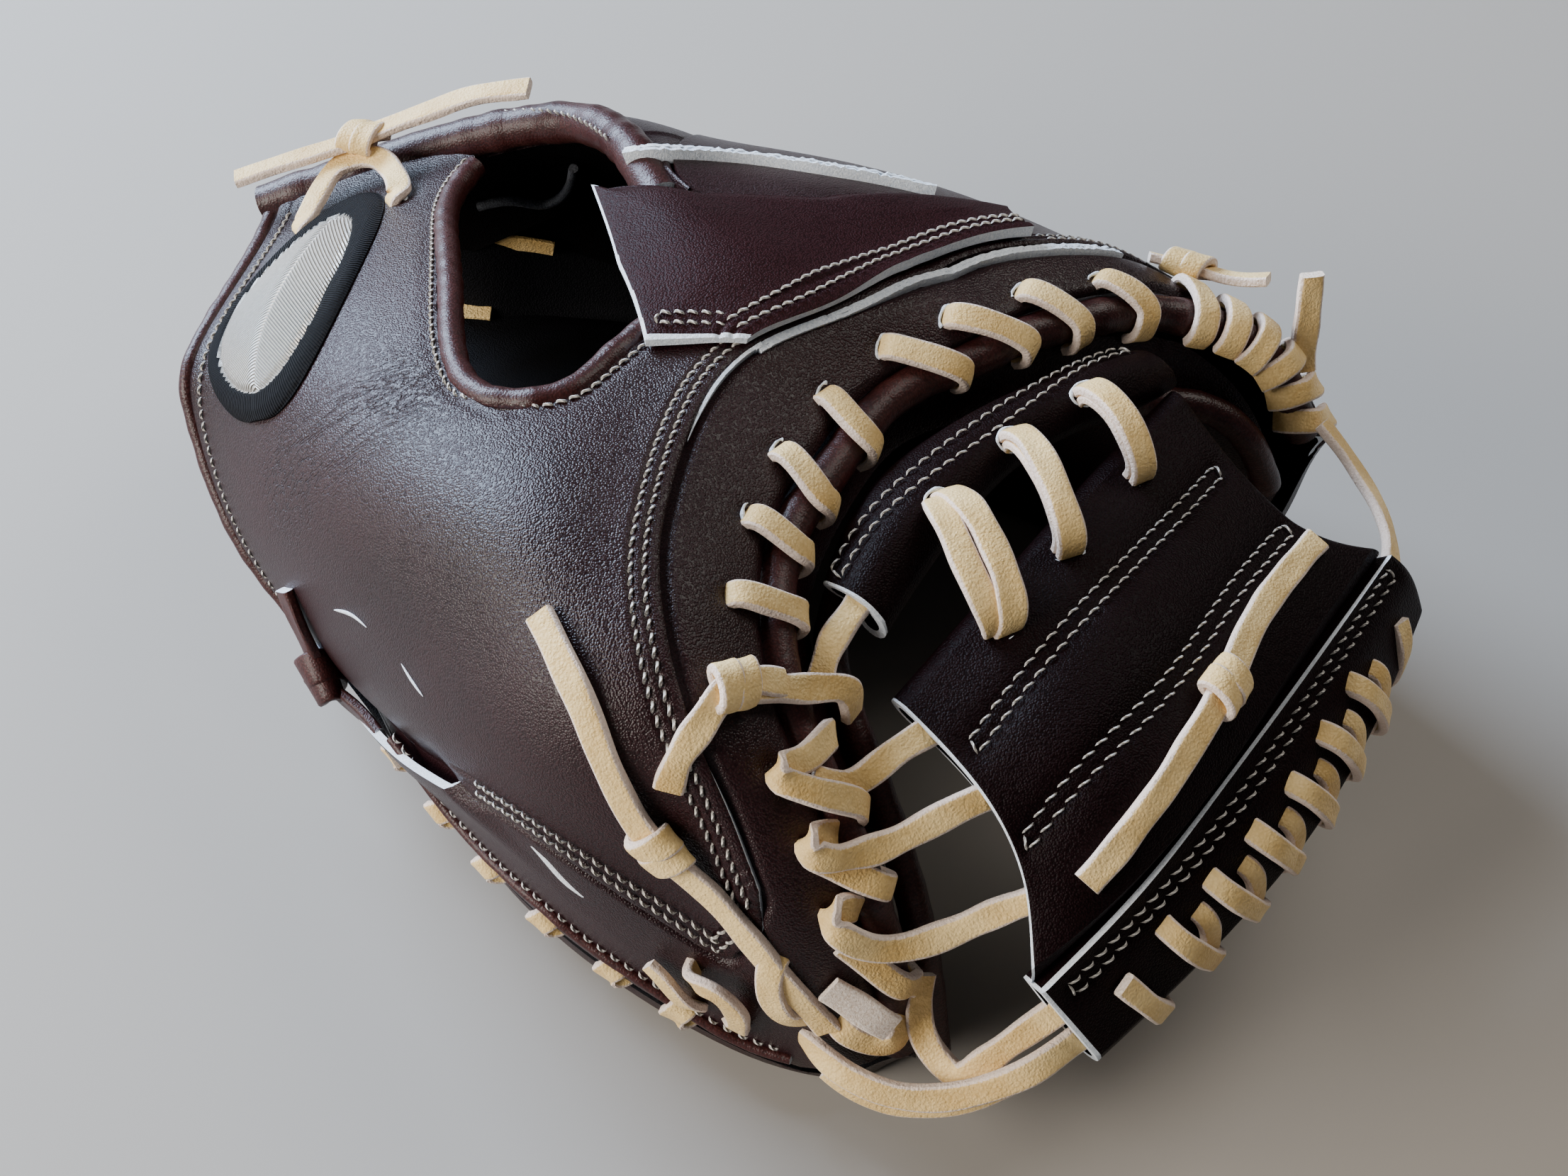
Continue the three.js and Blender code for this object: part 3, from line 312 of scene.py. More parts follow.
def add_piece(name, nodes, points, faces, materials, indices, sharp=40):
    """A mesh at the origin from points (n, 3) and lists of corners, on the mitt's one body, in place
    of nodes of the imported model."""
    mesh = bpy.data.meshes.new(name)
    mesh.from_pydata(points.tolist(), [], faces)
    for material in materials:
        mesh.materials.append(material)
    mesh.polygons.foreach_set("material_index", np.asarray(indices, np.int32))
    mesh.polygons.foreach_set("use_smooth", np.ones(len(mesh.polygons), bool))
    mesh.update()
    mesh.set_sharp_from_angle(angle=np.radians(sharp))
    piece = place_object(name, mesh)
    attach(piece, "root")
    if nodes:
        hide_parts(*nodes)
    return piece


def add_attribute(piece, name, values):
    """A number or a vector at each vertex, for the materials."""
    kind, field = ("FLOAT", "value") if np.ndim(values) == 1 else ("FLOAT_VECTOR", "vector")
    attribute = piece.data.attributes.new(name, kind, "POINT")
    attribute.data.foreach_set(field, np.asarray(values, np.float32).ravel())


def wall_faces(kept, index, wrap):
    """Quads round every edge that has a kept face on one side only. index numbers the top's points,
    and the bottom's follow on."""
    below = index.max() + 1
    ring = np.pad(kept, 1)
    if wrap:
        ring[:, 0], ring[:, -1] = ring[:, -2], ring[:, 1]
    walls = []
    for turned, cells, corners in ((False, ring[:, 1:-1], index), (True, ring[1:-1].T, index.T)):
        count = len(corners) - (wrap and turned)
        before, after = cells[:count], cells[1 : count + 1]
        start, end = corners[:count, :-1], corners[:count, 1:]
        if turned:
            start, end = end, start
        for a, b, only in ((start, end, after & ~before), (end, start, before & ~after)):
            walls.append(np.stack([a[only], b[only], b[only] + below, a[only] + below], axis=1))
    return np.concatenate(walls)


def add_sheet(name, nodes, top, bottom, materials, kept=None, wrap=False, kinds=0):
    """A wall between two grids of points: the top in the first material, or in that of kinds, the
    bottom in the second, and a band round every edge and hole in the third."""
    rows, columns = top.shape[:2]
    index = np.arange(rows * columns).reshape(rows, columns)
    if wrap:
        index = np.concatenate([index, index[:, :1]], axis=1)
    if kept is None:
        kept = np.ones((rows - 1, index.shape[1] - 1), bool)
    quads = np.stack([index[:-1, :-1], index[1:, :-1], index[1:, 1:], index[:-1, 1:]], axis=-1)[kept]
    walls = wall_faces(kept, index, wrap)
    points = np.concatenate([top.reshape(-1, 3), bottom.reshape(-1, 3)])
    corners = points[quads]
    facing = np.cross(corners[:, 2] - corners[:, 0], corners[:, 3] - corners[:, 1])
    through = points[quads[:, 0]] - points[quads[:, 0] + rows * columns]
    faces = np.concatenate([quads, quads[:, ::-1] + rows * columns, walls])
    if (facing * through).sum() < 0:
        faces = faces[:, ::-1]
    indices = np.repeat([0, 1, 2], [len(quads), len(quads), len(walls)])
    indices[: len(quads)] = np.broadcast_to(kinds, kept.shape)[kept]
    used, faces = np.unique(faces, return_inverse=True)
    return add_piece(name, nodes, points[used], faces.reshape(-1, 4).tolist(), materials, indices)


def add_wall(name, node, along, across, height, thick, materials, kinds=0):
    """A wall of leather with its top at a height off the hand back's surface."""
    normal = back.normal(along, across)
    top = back.at(along, across) + normal * height[..., None]
    bottom = top - normal * np.asarray(thick)[..., None]
    return add_sheet(name, [node], top, bottom, materials, kinds=kinds)


def graded(count, ease):
    """Steps from 0 to 1 that are finer towards both ends: t - ease * sin(2 pi t) / (2 pi)."""
    t = np.linspace(0, 1, count)
    return t - ease * np.sin(2 * np.pi * t) / (2 * np.pi)


def ridge(distance, middle, width):
    """A smooth bump of height 1 at a distance: a Gaussian."""
    return np.exp(-(((distance - middle) / width) ** 2))


def smooth_step(value, low, high):
    """0 below low, 1 above high, and 3t^2 - 2t^3 between."""
    t = np.clip((value - low) / (high - low), 0, 1)
    return t * t * (3 - 2 * t)


def distance_to(points, path):
    """The distance of each point of a grid from a path's nearest point."""
    flat = points.reshape(-1, 3)
    nearest = np.full(len(flat), np.inf)
    for spot in path:
        nearest = np.minimum(nearest, ((flat - spot) ** 2).sum(axis=1))
    return np.sqrt(nearest).reshape(points.shape[:-1])


def path_length(points):
    """The distance along a path or along each row of a grid, at each of its points."""
    steps = np.linalg.norm(np.diff(points, axis=-2), axis=-1)
    return np.concatenate([0 * steps[..., :1], np.cumsum(steps, axis=-1)], axis=-1)


def beside(along, across, distance):
    """Stations and shares at a distance to the left of a path on the hand back, by the surface's two
    derivatives."""
    step = 0.004
    forth = (back.at(along + step, across) - back.at(along - step, across)) / (2 * step)
    out = (back.at(along, across + step) - back.at(along, across - step)) / (2 * step)
    ahead = np.gradient(back.at(along, across), axis=0)
    left = unit(np.cross(np.cross(forth, out), ahead))
    a, b, c = (forth * forth).sum(-1), (forth * out).sum(-1), (out * out).sum(-1)
    p, q = (left * forth).sum(-1), (left * out).sum(-1)
    scale = distance / (a * c - b * b)
    return along + scale * (c * p - b * q), across + scale * (a * q - b * p)


leather_thick = 0.0028
seam_across, edge_across = 0.257, 0.995
strap_end = 8.0
seam_rows = (0.003, 0.0056)
seam_lift, seam_width, row_depth = 0.0024, 0.008, 0.00045
edge_row, opening_row = 0.0046, 0.0016


def row_grooves(distance, width=0.0006):
    """Both rows of stitches beside a seam: a Gaussian round each."""
    return ridge(distance, seam_rows[0], width) + ridge(distance, seam_rows[1], width)


def edge_fall(from_sewn, from_cut):
    """How far a panel is rounded off at its sewn and its cut edge: two exponentials."""
    return 0.0004 * np.exp(-from_sewn / 0.0003) + 0.0005 * np.exp(-from_cut / 0.0005)


# The hand opening's outline: at each station along, its crotch side and its strap side
opening = spline(
    [(5.86, 0.52, 0.55), (5.95, 0.475, 0.585), (6.1, 0.45, 0.613), (6.4, 0.433, 0.641),
     (6.8, 0.42, 0.668), (7.2, 0.42, 0.7), (7.63, 0.43, 0.735), (8.2, 0.45, 0.748)],
    np.linspace(0, 7, 160),
)
opening_path = np.concatenate([opening[::-1, [0, 2]], opening[:, [0, 1]]])

# The seam across the thumb, below which a second panel goes on round its tip: share and station
thumb_seam = spline(
    [(0.257, 1.42), (0.29, 1.2), (0.33, 1.11), (0.39, 1.13), (0.45, 1.17), (0.514, 1.25), (0.551, 1.52),
     (0.589, 1.91), (0.639, 2.48), (0.715, 2.99), (0.8, 3.25), (0.9, 3.45), (0.995, 3.6)],
    np.linspace(0, 12, 400),
)
seam_end = thumb_seam[0, 1]
thumb_seam_path = back.at(thumb_seam[:, 1], thumb_seam[:, 0])

across = seam_across + (edge_across - seam_across) * graded(130, 0.6)[None, :]
under = smooth_step(across, 0.7, 0.76)
start = np.interp(across, *thumb_seam.T) - 0.25 * under
along = start + (strap_end - start) * graded(250, 0.5)[:, None]
grid = back.at(along, across)
from_seam = distance_to(grid, back.at(np.linspace(seam_end, strap_end, 600), seam_across))
from_thumb = distance_to(grid, thumb_seam_path)
from_edge = path_length(grid[:, ::-1])[:, ::-1]
outline = back.at(*opening_path.T)
from_opening = distance_to(grid, outline)
inside = (
    (along > opening[0, 0])
    & (across > np.interp(along, opening[:, 0], opening[:, 1]))
    & (across < np.interp(along, opening[:, 0], opening[:, 2]))
)
height = (
    seam_lift * np.maximum(ridge(from_seam, 0, seam_width), 0.4 * (1 - under) * ridge(from_thumb, 0, 0.005))
    - row_depth * row_grooves(from_seam)
    - 0.00035 * (1 - under) * row_grooves(from_thumb)
    - edge_fall(np.minimum(from_seam, from_thumb), from_edge)
    - 0.0022 * under * ridge(from_thumb, 0, 0.007)
    - 0.00035 * ridge(from_edge, edge_row, 0.0008)
    - 0.0006 * ridge(from_opening, opening_row, 0.0011)
)
normal = back.normal(along, across)
top = grid + normal * height[..., None]
bottom = top - normal * leather_thick
corners = np.stack([inside[:-1, :-1], inside[1:, :-1], inside[1:, 1:], inside[:-1, 1:]])
moved = np.nonzero(inside & (from_opening < 0.004))
nearest = np.linalg.norm(grid[moved][:, None] - outline[None], axis=-1).argmin(axis=1)
top[moved] += outline[nearest] - grid[moved]
bottom[moved] += outline[nearest] - grid[moved]
hand_back = add_sheet("hand_back_leather", ["hand_back"], top, bottom, cut_leather, kept=~corners.all(axis=0))
places = np.empty(3 * len(hand_back.data.vertices), np.float32)
hand_back.data.vertices.foreach_get("co", places)
add_attribute(hand_back, "creased", ridge(distance_to(places.reshape(-1, 3), crease_line), 0, crease_reach))

# Panel round the thumb tip: sewn under the hand back as far as the seam goes, and beyond that a band
# on top of it with a raised raw edge
band_thick = 0.002
across = seam_across + (edge_across - seam_across) * graded(90, 0.3)[None, :]
over = smooth_step(across, 0.7, 0.74)
start = np.interp(across, *thumb_seam.T) + 0.12 * (1 - over)
along = start + (0.06 - start) * graded(84, 0.5)[:, None]
grid = back.at(along, across)
below = distance_to(grid, thumb_seam_path)
below = np.where(along > np.interp(across, *thumb_seam.T), -below, below)
from_rim = distance_to(grid, back.at(np.linspace(0, seam_end, 200), seam_across))
height = (
    (1 - over) * (-0.0024 + 0.0028 * smooth_step(below, -0.0003, 0.003))
    + over * (0.0004 + 0.0026 * ridge(below, 0, 0.01))
    + 0.0012 * ridge(from_rim, 0, 0.016) * smooth_step(below, 0, 0.004)
)
add_wall("thumb_band_leather", "hand_back", along, across, height, band_thick, cut_leather)


# Finger back, rim and heel. The finger back is the second outer panel, the rim is a narrow welt of
# leather that bulges up between the panels' sewn edge and the crotch roll, with the lace holes
# punched in it, and the heel side is the thick padded wall beside the wrist opening.

rim_height, rim_tuck, rim_under, rim_thick = 0.0016, -0.0011, 0.0022, 0.0022
rim_in, rim_out, seam_out = 0.005, 0.0146, 0.015
hole_dent, hole_dent_width = 0.0011, 0.0022
finger_low, finger_top = 9.2, 14.96
heel_wall, heel_low = 0.0068, 9.15


def off_roll(along, distance):
    """The share of the way across at a distance from the middle of the crotch roll."""
    probe = 0.1
    return probe * distance / np.linalg.norm(back.at(along, probe) - back.at(along, 0.0), axis=-1)


def seam_side_at(along, distance=seam_out):
    """The share where the panels' seam lies, at least a distance from the crotch roll's middle."""
    return np.maximum(seam_across, off_roll(along, distance))


def finger_start(across):
    """The station where the finger panel starts, further along towards its edge."""
    return finger_low + 0.9 * smooth_step(across, 0.5, 0.74)


seam_side = np.linspace(finger_low, finger_top, 150)[:, None]
across = seam_side_at(seam_side)
across = across + (edge_across - across) * graded(90, 0.5)[None, :]
part = (finger_top - seam_side) / (finger_top - finger_low)
along = seam_side + (finger_start(across) - finger_low) * part
from_seam = path_length(back.at(along, across))
from_edge = from_seam[:, -1:] - from_seam
height = seam_lift * ridge(from_seam, 0, seam_width) - row_depth * row_grooves(from_seam, 0.0007)
height -= edge_fall(from_seam, from_edge)
add_wall("finger_back_leather", "finger_back", along, across, height, leather_thick, turned_leather)

# Lace holes of the rim and of the tip: the station and the share across of each, and the station
# where the lace crosses the roll
roll_holes = [
    (4.95, 0.101, 4.62), (5.84, 0.098, 5.5), (6.67, 0.093, 6.4), (7.63, 0.125, 7.7),
    (8.67, 0.156, 9.1), (10.27, 0.162, 10.6), (11.46, 0.15, 11.8), (12.8, 0.28, 12.8),
    (13.3, 0.27, 13.28), (13.72, 0.28, 13.68), (14.1, 0.28, 14.05), (14.46, 0.3, 14.4),
    (14.78, 0.32, 14.73),
]
crotch_holes = [(3.94, 0.12), (2.45, 0.125), (2.2, 0.11), (1.72, 0.11), (1.13, 0.1)]

along = np.linspace(0.02, 14.94, 520)[:, None]
roll_side = off_roll(along, rim_in)
back_side = back.share(along, seam_side_at(along, rim_out), rim_under)
share = np.linspace(0, 1, 30)[None, :]
across = roll_side + (back_side - roll_side) * share
grid = back.at(along, across)
width = np.linalg.norm(grid[:, -1] - grid[:, 0], axis=-1)[:, None]
beyond_seam = 0.006 * (1 - smooth_step(along, seam_end - 0.35, seam_end - 0.1))
from_back = width * (1 - share) - rim_under + beyond_seam
bulge = smooth_step(from_back, -0.0012, 0.0028) * smooth_step(width * share, -0.0022, 0.003)
height = rim_tuck + (rim_height - rim_tuck) * bulge
for hole in [*roll_holes, *crotch_holes]:
    from_hole = np.linalg.norm(grid - back.at(*hole[:2]), axis=-1)
    height -= hole_dent * ridge(from_hole, 0, hole_dent_width)
add_wall("rim_leather", "rim_panel", along, across, height, rim_thick, cut_leather)

across = np.linspace(0.5, 0.99, 110)[None, :]
share = np.linspace(0, 1, 40)[:, None]
along = heel_low + (np.maximum(finger_start(across) - 0.03, heel_low + 0.07) - heel_low) * share
height = 0.0008 * np.sin(np.pi * share) ** 0.5 - 0.0008 - 0.0004 * (across < 0.63)
heel_side = add_wall("heel_wall", "heel_side", along, across, height, heel_wall, turned_leather)

# Hidden strip under the flap that carries the rim's seam on from the hand back to the finger back
along = np.linspace(7.9, 9.5, 60)[:, None]
across = seam_side_at(along) + 0.09 * np.linspace(0, 1, 24)[None, :]
grid = back.at(along, across)
from_seam = np.linalg.norm(grid - grid[:, :1], axis=-1)
height = seam_lift * ridge(from_seam, 0, seam_width) - 0.0001
add_wall("seam_strip_leather", "finger_back", along, across, height, leather_thick, turned_leather)


# Index flap. A padded pad of leather laid over the finger back beside the hand opening, folded at
# its far edge, with pale raw edges on its near sides, and sewn along the rim with the same two rows.

# Its outline in pairs of places: the station on the rim's seam, then the place at its far side,
# where a corner is the third
flap_rows = np.array([
    (6.83, 6.54, 0.406), (7.5, 7.29, 0.511), (8.3, 8.02, 0.585),
    (9.2, 9.1, 0.474), (10.2, 10.32, 0.44), (11.3, 11.79, 0.466),
])
flap_low, flap_top, flap_corner, flap_raw = 0.0009, 0.0037, 2, 0.0008


def flap_places(a, b):
    """Stations and shares on the flap: straight between its rows by a, and across it by b."""
    near = 0.011 + seam_side_at(flap_rows[:, 0])
    columns = (flap_rows[:, 0], near, *flap_rows.T[1:])
    near_along, near_across, far_along, far_across = (np.interp(a * 5, np.arange(6), c) for c in columns)
    return near_along + (far_along - near_along) * b, near_across + (far_across - near_across) * b


a = np.linspace(0, 1, 151)[:, None]
b = graded(90, 0.5)[None, :]
along, across = flap_places(a + 0 * b, b + 0 * a)
grid = back.at(along, across)
seam_side, far_side = (back.at(*flap_places(np.linspace(0, 1, 300), side)) for side in (0.0, 1.0))
low_side, high_side = (back.at(*flap_places(side, np.linspace(0, 1, 200))) for side in (0.0, 1.0))
turn = int(300 * flap_corner / 5)
from_seam = distance_to(grid, seam_side)
from_fold = distance_to(grid, far_side[turn:])
from_cut = distance_to(grid, np.concatenate([low_side, far_side[:turn]]))
from_rim = np.minimum.reduce([from_seam, from_fold, from_cut, distance_to(grid, high_side)])
line = np.linspace(6.3, 12.0, 400)
seam_rise = seam_lift * ridge(distance_to(grid, back.at(line, seam_side_at(line))), 0, seam_width)
folded_over = smooth_step(a * 5, flap_corner, flap_corner + 0.1)
height = (
    flap_top + seam_rise - 0.0009 * np.exp(-from_cut / 0.002) + 0.0007 * smooth_step(from_rim, 0.003, 0.016)
    - row_depth * row_grooves(from_seam)
    - (flap_top - flap_low - 0.0004) * folded_over * ridge(from_fold, 0, 0.003)
)
flap_hide = leather("flap_hide", (0.02, 0.005, 0.006), (0.032, 0.0084, 0.0098), 0.5, 2100, 0.00012, 0.2,
                    specular=0.06)
index_flap = add_wall(
    "index_flap_leather", "index_flap", along, across, height, height - flap_low - seam_rise,
    [flap_hide, flesh_side_painted_shade, raw_edge_with_painted_light], kinds=2 * (from_cut[:-1, :-1] < flap_raw),
)


# Palm. A thick felted pad under the hand, faced with leather outside and lined inside. It rests on
# its rim, and its middle, the pocket, hangs clear of the floor.

palm = Sheet([
    [(70, -60, 14), (66, -58, 8), (62, -60, 4), (57, -64, 0), (49, -71, 5)],
    [(62, -54, 42), (56, -50, 28), (50, -52, 12), (40, -60, 0), (27, -75, 5)],
    [(50, -46, 64), (40, -36, 48), (28, -38, 18), (10, -52, 0), (-17, -72, 5)],
    [(33, -36, 82), (18, -22, 66), (-4, -22, 28), (-30, -38, 0), (-61, -58, 6)],
    [(20, -24, 90), (0, -8, 76), (-35, -6, 36), (-75, -20, 0), (-100, -45, 18)],
    [(15, -9, 94), (-10, 6, 80), (-60, 6, 40), (-108, 0, 0), (-136, -28, 22)],
    [(13, 6, 96), (-14, 18, 82), (-74, 18, 42), (-128, 14, 0), (-162, 0, 26)],
    [(13, 28, 97), (-16, 34, 82), (-80, 34, 44), (-140, 36, 0), (-176, 24, 28)],
    [(20, 44, 97), (-10, 42, 82), (-78, 48, 44), (-146, 54, 0), (-182, 50, 26)],
    [(24, 52, 97), (-4, 50, 81), (-70, 60, 43), (-138, 70, 0), (-175, 74, 22)],
    [(28, 60, 96), (4, 58, 79), (-58, 70, 40), (-128, 80, 0), (-166, 86, 16)],
    [(33, 70, 93), (14, 66, 76), (-40, 80, 36), (-108, 92, 0), (-130, 105, 5)],
    [(43, 84, 89), (28, 78, 70), (-10, 92, 32), (-58, 104, 0), (-66, 123, 5)],
    [(55, 94, 83), (44, 88, 60), (24, 98, 28), (2, 110, 0), (2, 131, 5)],
    [(68, 99, 73), (58, 95, 50), (50, 103, 24), (44, 110, 0), (45, 127, 5)],
    [(77, 104, 52), (72, 103, 38), (70, 107, 20), (68, 110, 2), (71, 115, 6)],
])
pad_thick = (6, 14, 24, 30, 28, 26, 24, 24, 24, 26, 28, 30, 30, 26, 18, 6)
pad_share = (0.45, 0.8, 1, 1, 0.35)


def palm_face(along, across):
    """The palm's outer face: its surface, flattened where it meets the floor."""
    points = palm.at(along, across)
    points[..., 2] = np.maximum(points[..., 2], 0)
    return points


along = np.linspace(0.03, 14.97, 170)[:, None]
across = np.linspace(0.05, 1, 90)[None, :]
low = palm_face(along, across)
reach = back.at(along, across) - low
room = np.linalg.norm(reach, axis=-1)
spare = (
    leather_thick + 0.0003 + 0.003 * smooth_step(across, 0.75, 0.88) * (1 - smooth_step(along, 9.9, 10.3))
    + 0.0067 * np.maximum(0, 1 - across / 0.2)
)
pad = spline(np.array(pad_thick)[:, None], along[:, 0])
pad = pad * spline(np.array(pad_share)[:, None], across[0] * 4).T
closed = smooth_step(along, 9.3, 10.0) * smooth_step(across, 0.86, 0.97)
pad = np.maximum(np.minimum(pad / 1000 + closed * room, room - spare), 0.002)
# The lining is painted near black, as the shade inside the pocket.
palm_lining_painted_shade = leather("palm_lining_painted_shade", (0.003, 0.003, 0.004), (0.006, 0.006, 0.008), 0.7, 2000, 0.00012, 0.9,
                      specular=0.08)
palm_pad = add_sheet("palm_leather", ["palm_pad"], low + reach * (pad / room)[..., None], low,
                     [palm_lining_painted_shade, hide, hide])


# Rolls and bindings. The crotch, palm, heel and hand opening edges are finished with rolls of a
# redder, glossier leather round a cord, and the wrist edge with a thin piping. They wrinkle across.

crotch_roll_radius, roll_drop = 0.0043, 0.0012
palm_roll_radius, heel_roll_radius = 0.0036, 0.0052
binding_radius, piping_radius = 0.003, 0.0021
thumb_roll_radius, welt_width, welt_height = 0.0013, 0.003, 0.0034
rim_ply_height, ply_corners = 0.0022, np.array([(-1, -1), (-1, 1), (1, 1), (1, -1)])


def on(sheet, along, across, height):
    """Stops on a sheet, raised off it: points and normals side by side."""
    normal = sheet.normal(along, across)
    return np.concatenate([sheet.at(along, across) + normal * np.asarray(height)[..., None], normal], axis=-1)


def stop(*row):
    """A stop from its row: a station, a share and a lift on the hand back, or a free point in
    millimetres about the crotch and its normal."""
    if len(row) == 3:
        return on(back, *row)
    place = np.array(row[:3], float) / 1000 + crotch_place
    return np.concatenate([place, unit(np.array(row[3:], float))])


def run_through(stops, step=0.0008):
    """Points and unit normals at even steps along a smooth path through stops or their rows: the
    cubic spline whose knots are spaced by the square root of each chord."""
    stops = np.array([stop(*row) if isinstance(row, tuple) else row for row in stops])
    chords = np.linalg.norm(np.diff(stops[:, :3], axis=0), axis=1)
    knots = np.concatenate([[0], np.cumsum(np.sqrt(np.maximum(chords, 1e-5)))])
    fine = cubic(stops, knots, np.linspace(0, knots[-1], 40 * len(stops)))
    length = path_length(fine[:, :3])
    even = np.linspace(0, length[-1], max(int(length[-1] / step), 3) + 1)
    fine = np.stack([np.interp(even, length, column) for column in fine.T], axis=1)
    return fine[:, :3], unit(fine[:, 3:])


def frames(points, normals, ring=False):
    """Unit vectors along a path: side is square to it and its normal, up to it and side."""
    if ring:
        tangents = np.roll(points, -1, axis=0) - np.roll(points, 1, axis=0)
    else:
        tangents = np.gradient(points, axis=0)
    side = unit(np.cross(tangents, normals))
    return side, unit(np.cross(side, tangents))


def tube_faces(rows, sides, ring=False, first=0):
    """Quads round and along a grid of rows of points, from a first index on."""
    index = first + np.arange(rows * sides).reshape(rows, sides)
    if ring:
        index = np.concatenate([index, index[:1]])
    index = np.concatenate([index, index[:, :1]], axis=1)
    quads = np.stack([index[:-1, :-1], index[:-1, 1:], index[1:, 1:], index[1:, :-1]], axis=-1)
    return quads.reshape(-1, 4)


def add_swept(name, nodes, runs, materials, ring=False):
    """One piece from sections carried along paths. A run is points, normals and a section, (m, 2) or
    one for each point: distances along the side and up vectors. Its caps have the last material, and
    each vertex keeps its place in the straightened strip."""
    grids, faces, caps, straight = [], [], [], []
    first = 0
    for points, normals, section in runs:
        section = np.broadcast_to(section, (len(points), *np.shape(section)[-2:]))
        side, up = frames(points, normals, ring)
        grid = points[:, None] + section[..., :1] * side[:, None] + section[..., 1:] * up[:, None]
        rows, sides = grid.shape[:2]
        faces += tube_faces(rows, sides, ring, first).tolist()
        if not ring:
            start = first + np.arange(sides)
            caps += [start[::-1].tolist(), (start + (rows - 1) * sides).tolist()]
        straight.append(np.column_stack([np.repeat(path_length(points), sides), section.reshape(-1, 2)]))
        grids.append(grid.reshape(-1, 3))
        first += rows * sides
    indices = [0] * len(faces) + [len(materials) - 1] * len(caps)
    piece = add_piece(name, nodes, np.concatenate(grids), faces + caps, materials, indices, 50)
    add_attribute(piece, "straight", np.concatenate(straight))
    return piece


def round_section(radius, sides=20, flat=1.0):
    """Points round an ellipse: radius to the side, and flat times that up and down."""
    turn = -2 * np.pi * np.arange(sides) / sides
    return np.stack([radius * np.cos(turn), radius * flat * np.sin(turn)], axis=1)


def wander(count, seed, waves, size):
    """A slow random wave: five sines with random counts, up to waves, and phases."""
    draw = np.random.default_rng(seed)
    t = np.linspace(0, 1, count)[:, None]
    turns, phases = draw.uniform(0.3, 1, 5) * waves, draw.uniform(0, 2 * np.pi, 5)
    return size * np.sin(2 * np.pi * turns * t + phases).sum(axis=1) / 2.2


def wrinkles(tree):
    """Wrinkles across a roll: noise in the straightened strip's place, stretched across it."""
    place = add_node(tree, "Attribute", out="Vector", attribute_name="straight")
    stretched = add_node(tree, "VectorMath", place, (620, 90, 90), operation="MULTIPLY")
    noise = add_node(tree, "TexNoise", Vector=stretched, Scale=1, Detail=3)
    return add_node(tree, "Bump", Height=noise, Distance=0.0002)


roll_hide = leather("roll_hide", (0.034, 0.0074, 0.007), (0.058, 0.0136, 0.012), 0.4, 1900, 0.00005, 0.4,
                    specular=0.3, under=wrinkles)


def add_roll(name, stops, radius, seed, node=None):
    """A roll through stops: a round section whose radius wanders a little along it."""
    points, normals = run_through(stops)
    swell = 1 + wander(len(points), seed, len(points) / 9, 0.035)
    run = points, normals, round_section(radius) * swell[:, None, None]
    add_swept(f"{name}_leather", [node or name], [run], [roll_hide, raw_edge_with_painted_light])


def pushed(stops, directions, distance):
    """Stops moved a distance along directions."""
    return np.concatenate([stops[:, :3] + directions * distance, stops[:, 3:]], axis=1)


def towards_web(along):
    """The direction out of the crotch roll towards the web."""
    return unit(back.at(along, 0.0) - back.at(along, 0.03))


along = np.linspace(0.05, 14.9, 29)
add_roll("crotch_roll", on(back, along, 0.0, -roll_drop), crotch_roll_radius, 1)

along = np.linspace(0.1, 14.8, 21)
stops = np.concatenate([palm_face(along, 0.0), back.normal(along, 0.0)], axis=1)
add_roll("palm_roll", pushed(stops, towards_web(along), palm_roll_radius + 0.0012), palm_roll_radius, 2)

across = np.linspace(0.53, 1.0, 14)
stops = on(back, 8.98, across, -0.003 - 0.05 * np.maximum(0, 0.6 - across))
add_roll("heel_roll", stops, heel_roll_radius, 3)

strap_side = opening[::-6, [0, 2]]
strap_side = strap_side[strap_side[:, 0] < 7.95]
binding_path = np.concatenate([[(7.95, 0.744)], strap_side[:-1], opening[6:95:6, [0, 1]]])
stops = on(back, *binding_path.T, -leather_thick / 2)
inwards = unit(back.at(7.2, 0.56) - stops[:, :3])
add_roll("opening_binding", pushed(stops, inwards, binding_radius), binding_radius, 4)

along = np.linspace(4.15, 7.95, 15)
outwards = unit(back.at(along, 1.0) - back.at(along, 0.97))
stops = pushed(on(back, along, edge_across, -leather_thick / 2), outwards, piping_radius + 0.0003)
add_roll("wrist_piping", stops, piping_radius, 5)

# Thin roll along the thumb's lower edge
thumb_roll = spline([
    (3.45, 0.845), (3.13, 0.853), (2.67, 0.87), (2.17, 0.845),
    (1.82, 0.857), (1.4, 0.872), (0.79, 0.93), (0.32, 0.85),
], np.linspace(0, 7, 40))
add_roll("thumb_roll", on(back, *thumb_roll.T, 0.001), thumb_roll_radius, 6, "hand_back")

# The two raw plies of the seam on the finger back behind the flap, each a strip on edge
far_seam = spline([
    (8.71, 0.583), (9.32, 0.56), (10.08, 0.555), (10.73, 0.531), (11.13, 0.517), (11.44, 0.502),
], np.linspace(0, 5, 60))
points, normals = run_through(on(back, *far_seam.T, 0.0008))
ply = ply_corners * (welt_width / 4 - 0.0001, welt_height / 2)
rough = 0.00015 * np.random.default_rng(8).standard_normal((2, len(points), 1, 1))
side, _ = frames(points, normals)
runs = [(points + side * welt_width / 4 * (2 * k - 1), normals, ply + rough[k] * (0, 1)) for k in (0, 1)]
add_swept("far_seam_plies", ["finger_back"], runs, [raw_edge_with_painted_light])

